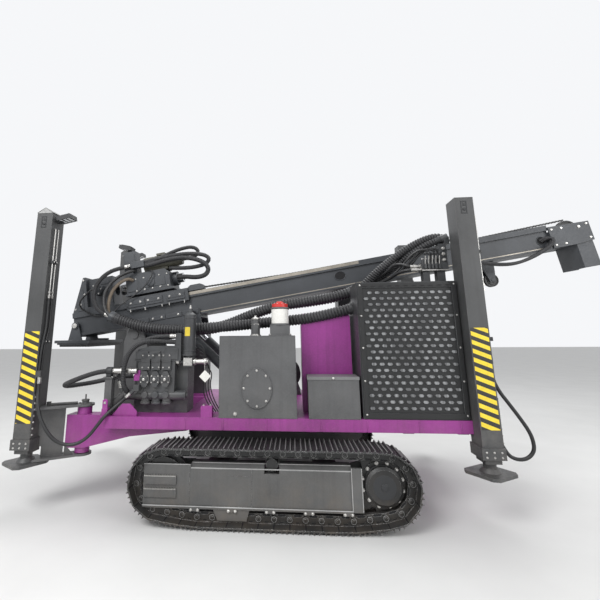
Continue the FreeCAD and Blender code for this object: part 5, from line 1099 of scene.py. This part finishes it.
for side, label in SIDES:
    rail = Shell(MAST)
    rail.box(-1640, 500, *slab(side, 180, 181), 250, 288)
    rail.box(-1640, 2680, *slab(side, 180, 181), 22, 33)
    rail.box(-3060, 2680, *slab(side, 118, 172), 289.8, 290.15)
    rail.piece("rail_face_" + label, "mast", rail_steel, "bare_steel")
    web = Shell(MAST)
    hoop(web, (255, side * WEB_FACE, 150), ALONG, (0, 0, 0.8), 66, 6)
    hoop(web, (2604, side * WEB_FACE, 123), ALONG, UP, 48, 6)
    web.piece("web_rims_" + label, "mast", mast_grey, "dark_paint", bevel=1.0)
    # Black sheets over the web holes: painted shade inside them.
    hole = Shell(MAST)
    hole.turned((2604, side * WEB_FACE, 123), (0, side, 0), [(0, 44), (0.8, 44)], 32)
    outline = [(255 + 64 * math.cos(a * math.pi / 16), 150 + 51 * math.sin(a * math.pi / 16))
               for a in range(32)]
    hole.prism(outline, "y", *slab(side, WEB_FACE, WEB_FACE + 0.8))
    hole.piece("web_hole_shadows_" + label, "mast", shadow_black, "dark_paint")
    keeper = Shell(MAST)
    for s0, s1 in ((-2351, -2135), (-2125, -1910), (-1859, -1634)):
        keeper.box(s0, s1, *slab(side, 214, 226), 222, 312)
        keeper.box(s0 + 12, s1 - 12, *slab(side, 225, 230), 250, 296)
    keeper.piece("carriage_keepers_" + label, "head", mast_grey, "dark_paint", bevel=1.5)
    low = Shell(MAST)
    for s0, s1 in ((-2298, -2110), (-2100, -1905), (-1895, -1700), (-1690, -1493)):
        low.box(s0, s1, *slab(side, 205, 217), 14, 68)
    low.piece("cradle_keepers_" + label, "cradle", mast_grey, "dark_paint", bevel=1.5)
    screws = Shell(MAST)
    for s in (-2310, -2190, -2090, -1960, -1820, -1690):
        screws.bolt((s, side * 230, 273), (0, side, 0), 20)
    for s in (-2330, -2145, -1930, -1840, -1650):
        screws.bar((s, side * 206, 222), (s, side * 206, 168), 7, 12)
        screws.turned((s, side * 206, 200), DOWN, [(0, 13), (11, 13)], 6)
    screws.piece("carriage_bolts_" + label, "head", bright_steel, "bare_steel")
    screws = Shell(MAST)
    for s in (-2250, -2060, -1950, -1745, -1560):
        screws.bolt((s, side * 217, 41), (0, side, 0), 20)
    bolt_ring(screws, (-2250, side * 288, -118), (66, 0, 0), (0, 0, 66), (0, side, 0), 10, 13)
    screws.piece("cradle_bolts_" + label, "cradle", bright_steel, "bare_steel")
    crown = Shell(MAST)
    for s, n in ((2730, 40), (2730, 225), (2840, 40), (2840, 225), (3120, 60), (3120, 225)):
        crown.bolt((s, side * 196, n), (0, side, 0), 20)
    crown.turned((3030, side * 196, 205), (0, side, 0), [(0, 17), (8, 17), (9, 12), (14, 11)], 24)
    crown.turned((-3042, side * 222, 130), (0, side, 0), [(0, 30), (7, 30), (8, 12), (13, 12)], 24)
    crown.piece("crown_bolts_" + label, "mast", bright_steel, "bare_steel")

for name, s, n, radius, half, body, label in (
        ("crown", 3030, 205, 125, 20, "top_sheave", "crown_sheave"),
        ("snatch", 2010, -215, 78, 24, "guide_sheave", "snatch_sheave")):
    wheel = Shell(MAST)
    wheel.turned((s, -half, n), RIGHT, [
        (0, radius * 0.30), (0, radius * 0.62), (half * 0.35, radius * 0.66),
        (half * 0.35, radius * 0.84), (0, radius * 0.88), (0, radius), (half * 0.3, radius),
        (half * 0.8, radius * 0.88), (half * 1.2, radius * 0.88), (half * 1.7, radius),
        (half * 2, radius), (half * 2, radius * 0.88), (half * 1.65, radius * 0.84),
        (half * 1.65, radius * 0.66), (half * 2, radius * 0.62), (half * 2, radius * 0.30)], 56)
    made = wheel.piece(name + "_wheel", body, link_steel, "bare_steel")
    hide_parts(label)


def chain_line():
    """Pins of the feed chain at one pitch along its sagging line, in mast axes."""
    corners = [(-2539.7, 314), (-1385, 345), (-400, 312), (430, 302), (1900, 312), (3030, 341.3)]
    pins, left = [], 0.0
    for (a, b), (c, d) in zip(corners, corners[1:]):
        run = math.hypot(c - a, d - b)
        at = left
        while at < run:
            pins.append((a + (c - a) * at / run, b + (d - b) * at / run))
            at += CHAIN_PITCH
        left = at - run
    return pins


roller_chain = Shell(MAST)
spots = chain_line()
for i, ((s, n), (s2, n2)) in enumerate(zip(spots, spots[1:])):
    length = math.hypot(s2 - s, n2 - n)
    outline = beside_line(
        (s, n), ((s2 - s) / length, (n2 - n) / length), (-8, -6), (0, -10.5), (10, -8),
        (length * 0.5, -6), (length - 10, -8), (length, -10.5), (length + 8, -6),
        (length + 8, 6), (length, 10.5), (length - 10, 8), (length * 0.5, 6), (10, 8),
        (0, 10.5), (-8, 6))
    half = 15.5 if i % 2 else 11.5
    for side in (-1, 1):
        roller_chain.prism(outline, "y", *slab(side, half, half - 3.2))
    roller_chain.turned((s, -10, n), RIGHT, [(0, 9.5), (20, 9.5)], 12)
made = roller_chain.piece("feed_chain_links", "mast", link_steel, "track_steel", angle=30.0)
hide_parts("feed_chain")

clamp = Shell(MAST)
for side in (-1, 1):
    clamp.turned((-2720, side * 240, ROD_AXIS_N), (0, side, 0), [
        (0, 74), (10, 74), (12, 50), (20, 46)], 32)
    clamp.prism([(-3010, 300), (-2930, 560), (-2925, 560), (-2925, 300)], "y",
                *slab(side, 180, 186))
clamp.box(-2860, -2600, -126, 126, 600, 640)
clamp.box(-2700, -2570, -150, 150, 331, 420)
clamp.piece("clamp_parts", "mast", mast_grey, "dark_paint", bevel=2.0)
screws = Shell(MAST)
for side in (-1, 1):
    bolt_ring(screws, (-2720, side * 251, ROD_AXIS_N), (60, 0, 0), (0, 0, 60), (0, side, 0), 6, 15)
    for s, n in ((-3040, 330), (-2960, 380), (-2910, 680), (-2910, 500)):
        screws.bolt((s, side * 181, n), (0, side, 0), 18)
screws.piece("clamp_bolts", "mast", bright_steel, "bare_steel")
foot = Shell()
for k in range(12):
    x = -3070 + k * 30.5
    foot.prism([(x, 1532), (x + 28, 1532), (x + 22, 1507), (x + 6, 1507)], "y", -424, 424)
foot.piece("foot_cleats", "foot_pad", black_paint, "dark_paint")


# Head: motor ribs, case bolts, rear loops

motor = Shell(MAST)
motor.rings((-2118, MOTOR_Y, MOTOR_N), ALONG, 101, 7, 8, 14, 40)
motor.turned((-1990, MOTOR_Y, MOTOR_N), ALONG, [(0, 102), (16, 102), (18, 97)], 40)
motor.turned((-1812, MOTOR_Y, MOTOR_N), ALONG, [(0, 102), (14, 102)], 40)
motor.box(-1960, -1850, -110, -10, 838, 868)
motor.piece("motor_ribs", "head", olive, "olive_metal", bevel=1.0)
head = Shell(MAST)
bolt_ring(head, (-1801, MOTOR_Y, MOTOR_N), (0, 86, 0), (0, 0, 86), ALONG, 8, 15)
for s in (-2230, -2130, -2030, -1930, -1830):
    for side in (-1, 1):
        head.bolt((s, side * 190, 420), (0, side, 0), 17)
        head.bolt((s, side * 190, 570), (0, side, 0), 15)
for y, n in ((-170, 500), (-170, 700), (-170, 900), (-55, 900)):
    head.bolt((-2362, y, n), AHEAD, 15)
hoop(head, (-2483, 0, ROD_AXIS_N), RIGHT, UP, 85, 5)
head.piece("head_bolts", "head", bright_steel, "bare_steel")
case = Shell(MAST)
case.box(-2345, -2216, -193, -184, 420, 900)
case.box(-2190, -1860, -196, -189, 440, 548)
case.box(-2190, -1860, 189, 196, 440, 548)
case.turned((-2040, -189, 496), LEFT, [(0, 60), (10, 60), (12, 52), (20, 48), (22, 30)], 36)
case.box(-1590, -1400, -190, -48, 298, 352)
case.prism([(-1590, 352), (-1560, 372), (-1440, 372), (-1400, 352)], "y", -180, -60)
case.piece("head_covers", "head", mast_grey, "dark_paint", bevel=2.0)
golden = Shell(MAST)
golden.turned((-2262, -232, 738), ALONG, [(0, 30), (24, 30)], 6)
golden.turned((-2238, -232, 738), ALONG, [(0, 24), (30, 24)], 24)
for k in range(3):
    golden.turned((-2080, -214 + 6 * k, 712 + 24 * k), ALONG, [
        (0, 15), (20, 15), (22, 11), (46, 11)], 6)
golden.piece("head_fittings", "head", brass, "bare_steel")

hose("head_loop_low", [
    mast(-2080, -214, 712), mast(-1990, -218, 714), (-1890, -214, 2560), (-1670, -200, 2588),
    (-1470, -186, 2545), (-1372, -166, 2462), (-1400, -140, 2372), (-1530, -110, 2340),
    mast(-1660, -62, 521), mast(-1741, -62, 520)], 54.0, "head", steps=52, sides=22,
    ridge=(18.0, 4.5))
hose("head_loop_high", [
    mast(-2080, -208, 736), mast(-1990, -206, 745), (-1860, -176, 2655), (-1730, -130, 2716),
    (-1610, -100, 2742), (-1535, -84, 2705), (-1545, -70, 2640), (-1640, -62, 2604),
    mast(-1641, -60, 745)], 44.0, "head", steps=52, sides=22,
    ridge=(16.0, 4.5))
hose("head_loop_middle", [
    mast(-2080, -202, 760), mast(-1995, -204, 772), (-1800, -190, 2622), (-1600, -170, 2640),
    (-1430, -156, 2622), (-1368, -142, 2570), (-1420, -128, 2508), (-1540, -126, 2474),
    (-1710, -136, 2458), mast(-1800, -150, 640)], 48.0, "head", steps=52, sides=22,
    ridge=(16.0, 4.5))

for name, material, route in (
        ("feed_hose_middle", rubber,
         [(-2473, -452, 1866), (-2520, -448, 1900), (-2568, -420, 2000), (-2590, -386, 2110),
          (-2566, -352, 2215), (-2500, -318, 2310), (-2400, -280, 2385), (-2290, -240, 2430),
          mast(-2230, -194, 664)]),
        ("feed_hose_inner", muddy,
         [(-2476, -390, 1838), (-2512, -384, 1868), (-2540, -366, 1960), (-2545, -340, 2070),
          (-2520, -312, 2180), (-2455, -280, 2268), (-2360, -246, 2330),
          mast(-2262, -194, 560)])):
    hose(name, route, 40.0, None, material=material,
         between=("mast", "head", (-2490, -430, 1880), (-2330, -230, 2440)))
hose("sensor_cable", [
    mast(-2080, -196, 650), (-2070, -232, 2440), (-2066, -240, 2360), (-2130, -246, 2240),
    (-2260, -256, 2120), (-2390, -290, 2020), (-2460, -350, 1930), (-2466, -400, 1870)],
    14.0, None, between=("head", "mast", (-2080, -240, 2440), (-2450, -350, 1930)),
    sides=10)

# Crown, valve and clamp hoses

for k in range(2):
    drop = 38.0 * k
    hose("crown_hose_%d" % k, [
        mast(1640, -157, 150 - drop), (1690, -196 - drop, 2470 - drop), (1840, -208 - drop, 2424),
        (2020, -210 - drop, 2396), (2200, -208 - drop, 2404), (2380, -206 - drop, 2470),
        (2520, -206 - drop, 2548), (2610, -208 - drop, 2612), (2640, -206 - drop, 2690),
        (2596, -192, 2716 - drop * 0.4), mast(2590 + drop * 0.4, -157, 128 - drop * 0.4)],
        34.0, "mast", steps=36, sides=18, ridge=(14.0, 3.0))
hose("valve_hose_high", [
    (373, -467, 2118), (470, -478, 2152), (570, -520, 2222), (700, -610, 2312),
    (740, -700, 2345), (790, -776, 2326), (840, -800, 2300),
    (944, -800, 2300)], 32.0, "chassis")
hose("valve_hose_low", [
    (373, -440, 2072), (460, -452, 2108), (570, -520, 2165), (690, -620, 2205),
    (735, -710, 2240), (785, -792, 2256), (840, -822, 2262),
    (944, -822, 2262)], 32.0, "chassis")
hose("clamp_hose_left", [
    mast(-2720, -262, 520), mast(-2722, -330, 520), mast(-2790, -352, 470),
    mast(-2900, -330, 400), mast(-2930, -270, 330), mast(-2880, -215, 270),
    mast(-2780, -185, 200), mast(-2700, -157, 190)], 20.0, "mast")
hose("pump_hose_near", [
    (-1560, -812, 1562), (-1680, -816, 1568), (-1800, -834, 1574), (-1905, -862, 1560),
    (-1990, -890, 1500), (-2040, -906, 1400), (-2060, -910, 1290), (-2058, -906, 1180),
    (-2048, -886, 1112), (-2040, -834, 1076)], 44.0, "chassis", steps=56, sides=22,
    ridge=(16.0, 5.0))

for y, z in ((-800, 2300), (-822, 2262)):
    plated.turned((960, y, z), AHEAD, [
        (0, 26), (18, 26), (19, 16), (50, 16), (51, 21), (76, 21), (77, 17), (110, 17)], 24)
knobs = Shell()
for x in LEVERS_X:
    plated.turned((x, -800, 2370), UP, [(0, 13), (12, 13)], 6)
    plated.bar((x, -868, 2300), (x, -896, 2400), 5.0, 12)
    knobs.turned((x, -893, 2392), (0, -0.27, 0.96), [
        (0, 7), (8, 12), (20, 14), (30, 12), (36, 5)], 18)
plated.box(946, 1209, -864, -858, 2246, 2256)
knobs.piece("valve_knobs", "chassis", black_paint, "dark_paint")
for z in (2352, 2410, 2468):
    plated.turned((1167, -850, z), LEFT, [(0, 17), (16, 17), (17, 11), (34, 11)], 6)


# Second supply line into the hood, its post behind the vessel, and wiring

hose("supply_hose_low", [
    (-1480, -620, 1402), (-1480, -620, 1560), (-1468, -620, 1700), (-1320, -620, 1708),
    (-1180, -622, 1714), (-916, -626, 1731),
    (-647, -630, 1757), (-381, -634, 1776), (-169, -636, 1799), (41, -638, 1838),
    (278, -640, 1896)], 104.0, "chassis", steps=64, sides=40, ridge=(32.0, 9.0))
holder = Shell()
holder.turned((-1480, -620, 1386), UP, [(0, 76), (14, 76), (16, 62), (60, 60)], 40)
holder.turned((276, -640, 1895), (-0.97, 0, -0.24), [(0, 70), (10, 70), (12, 60), (40, 58)], 40)
holder.piece("supply_hose_cuffs", "chassis", black_paint, "dark_paint", bevel=2.0)
hose("hood_hose_second", [
    (354, -482, 2080), (450, -510, 2170), (589, -570, 2306), (809, -640, 2472),
    (973, -690, 2566), (1110, -744, 2612), (1204, -786, 2596), (1240, -800, 2540)],
    80.0, "chassis", steps=56, sides=32, ridge=(26.0, 7.0))
for k, (x, z) in enumerate(((1060, 2376), (1110, 2380), (1150, 2384))):
    hose("valve_loop_%d" % k, [
        (x, -806, z - 46), (x, -812, z + 30), (x - 30, -820, z + 90), (x - 110, -800, z + 96),
        (x - 190, -760, z + 40), (x - 250, -720, z - 40), (x - 330, -680, z - 120)],
        24.0, "chassis", steps=14, sides=14)
for k in range(4):
    hose("pump_wire_%d" % k, [
        (-1395 + 12 * k, -742, 1500 - 30 * k), (-1330 + 10 * k, -748, 1560 - 34 * k),
        (-1270 + 14 * k, -742, 1480 - 60 * k), (-1250 + 20 * k, -720, 1300 - 20 * k),
        (-1300 + 26 * k, -700, 1120), (-1260 + 30 * k, -690, 960), (-1180 + 24 * k, -680, 863)],
        11.0, "chassis", sides=10)


# Console and winch

for k in range(6):
    x = -1880 + 54 * k
    z = 1657 + (x + 1930) * 50.0 / 370.0
    plated.bar((x, 640, z), (x + 8, 640, z + 90), 5.0, 12)
dials = Shell()
for k in range(3):
    dials.turned((-1835 + 100 * k, 790, 1663 + 13.5 * k), (-0.13, 0, 0.99),
                 [(0, 34), (10, 34), (12, 30), (12.5, 28)], 28)
for k in range(6):
    x = -1872 + 54 * k
    z = 1657 + (x + 1922) * 50.0 / 370.0
    dials.turned((x, 640, z + 82), (0.1, 0, 1), [(0, 6), (6, 12), (18, 14), (28, 11), (33, 4)], 18)
dials.piece("console_controls", "chassis", black_paint, "dark_paint")
wound = Shell()
wound.rings((-450, 530, 1120), RIGHT, 117, 12.6, 23, 12.9, 36)
wound.piece("wound_rope", "rope_drum", rope, "bare_steel")
for body, shell in steel.items():
    shell.piece("fittings_" + body, body, bright_steel, "bare_steel", angle=30.0)


# Floor, light and background

FLOOR_HALF = 45000.0
floor_look = Tree("floor")
pale = floor_look.mix(floor_look.span(floor_look.noise(1.5, 6.0), 0.3, 0.7),
                      (0.70, 0.70, 0.69, 1.0), (0.74, 0.74, 0.73, 1.0))
floor_look.put(floor_look.shader.inputs["Base Color"], pale)
floor_look.shader.inputs["Roughness"].default_value = 0.85
floor = Shell().add([(-FLOOR_HALF, -FLOOR_HALF, 0), (FLOOR_HALF, -FLOOR_HALF, 0),
                     (FLOOR_HALF, FLOOR_HALF, 0), (-FLOOR_HALF, FLOOR_HALF, 0)],
                    [(0, 1, 2, 3)]).piece("floor", None, floor_look.material)

world = bpy.data.worlds.new("studio")
scene.world = world
world.use_nodes = True
nodes, links = world.node_tree.nodes, world.node_tree.links
shine = nodes["Background"]
rays = nodes.new("ShaderNodeLightPath")
seen = rays.outputs["Is Camera Ray"]
for kind in ("Is Glossy Ray", "Is Transmission Ray"):
    either = nodes.new("ShaderNodeMath")
    either.operation = "MAXIMUM"
    links.new(seen, either.inputs[0])
    links.new(rays.outputs[kind], either.inputs[1])
    seen = either.outputs[0]
strength = nodes.new("ShaderNodeMapRange")
strength.inputs["To Min"].default_value = 0.62
strength.inputs["To Max"].default_value = 0.95
links.new(seen, strength.inputs["Value"])
links.new(strength.outputs[0], shine.inputs["Strength"])
shine.inputs["Color"].default_value = (0.97, 0.98, 1.0, 1.0)


def soft_light(name, place, aim, size, power):
    """Square soft lamp aimed at a point, in metres and watts."""
    lamp = bpy.data.lights.new(name, "AREA")
    lamp.shape = "SQUARE"
    lamp.size = size
    lamp.energy = power
    made = bpy.data.objects.new(name, lamp)
    scene.collection.objects.link(made)
    made.location = place
    way = Vector(aim) - Vector(place)
    made.rotation_euler = way.to_track_quat("-Z", "Y").to_euler()


soft_light("key", (-4.5, -7.5, 7.5), (0.0, 0.0, 1.2), 4.0, 620.0)
soft_light("fill", (6.5, -6.5, 4.0), (0.0, 0.0, 1.2), 4.0, 220.0)
soft_light("top", (0.0, 2.5, 8.5), (0.0, 0.0, 1.5), 6.0, 380.0)
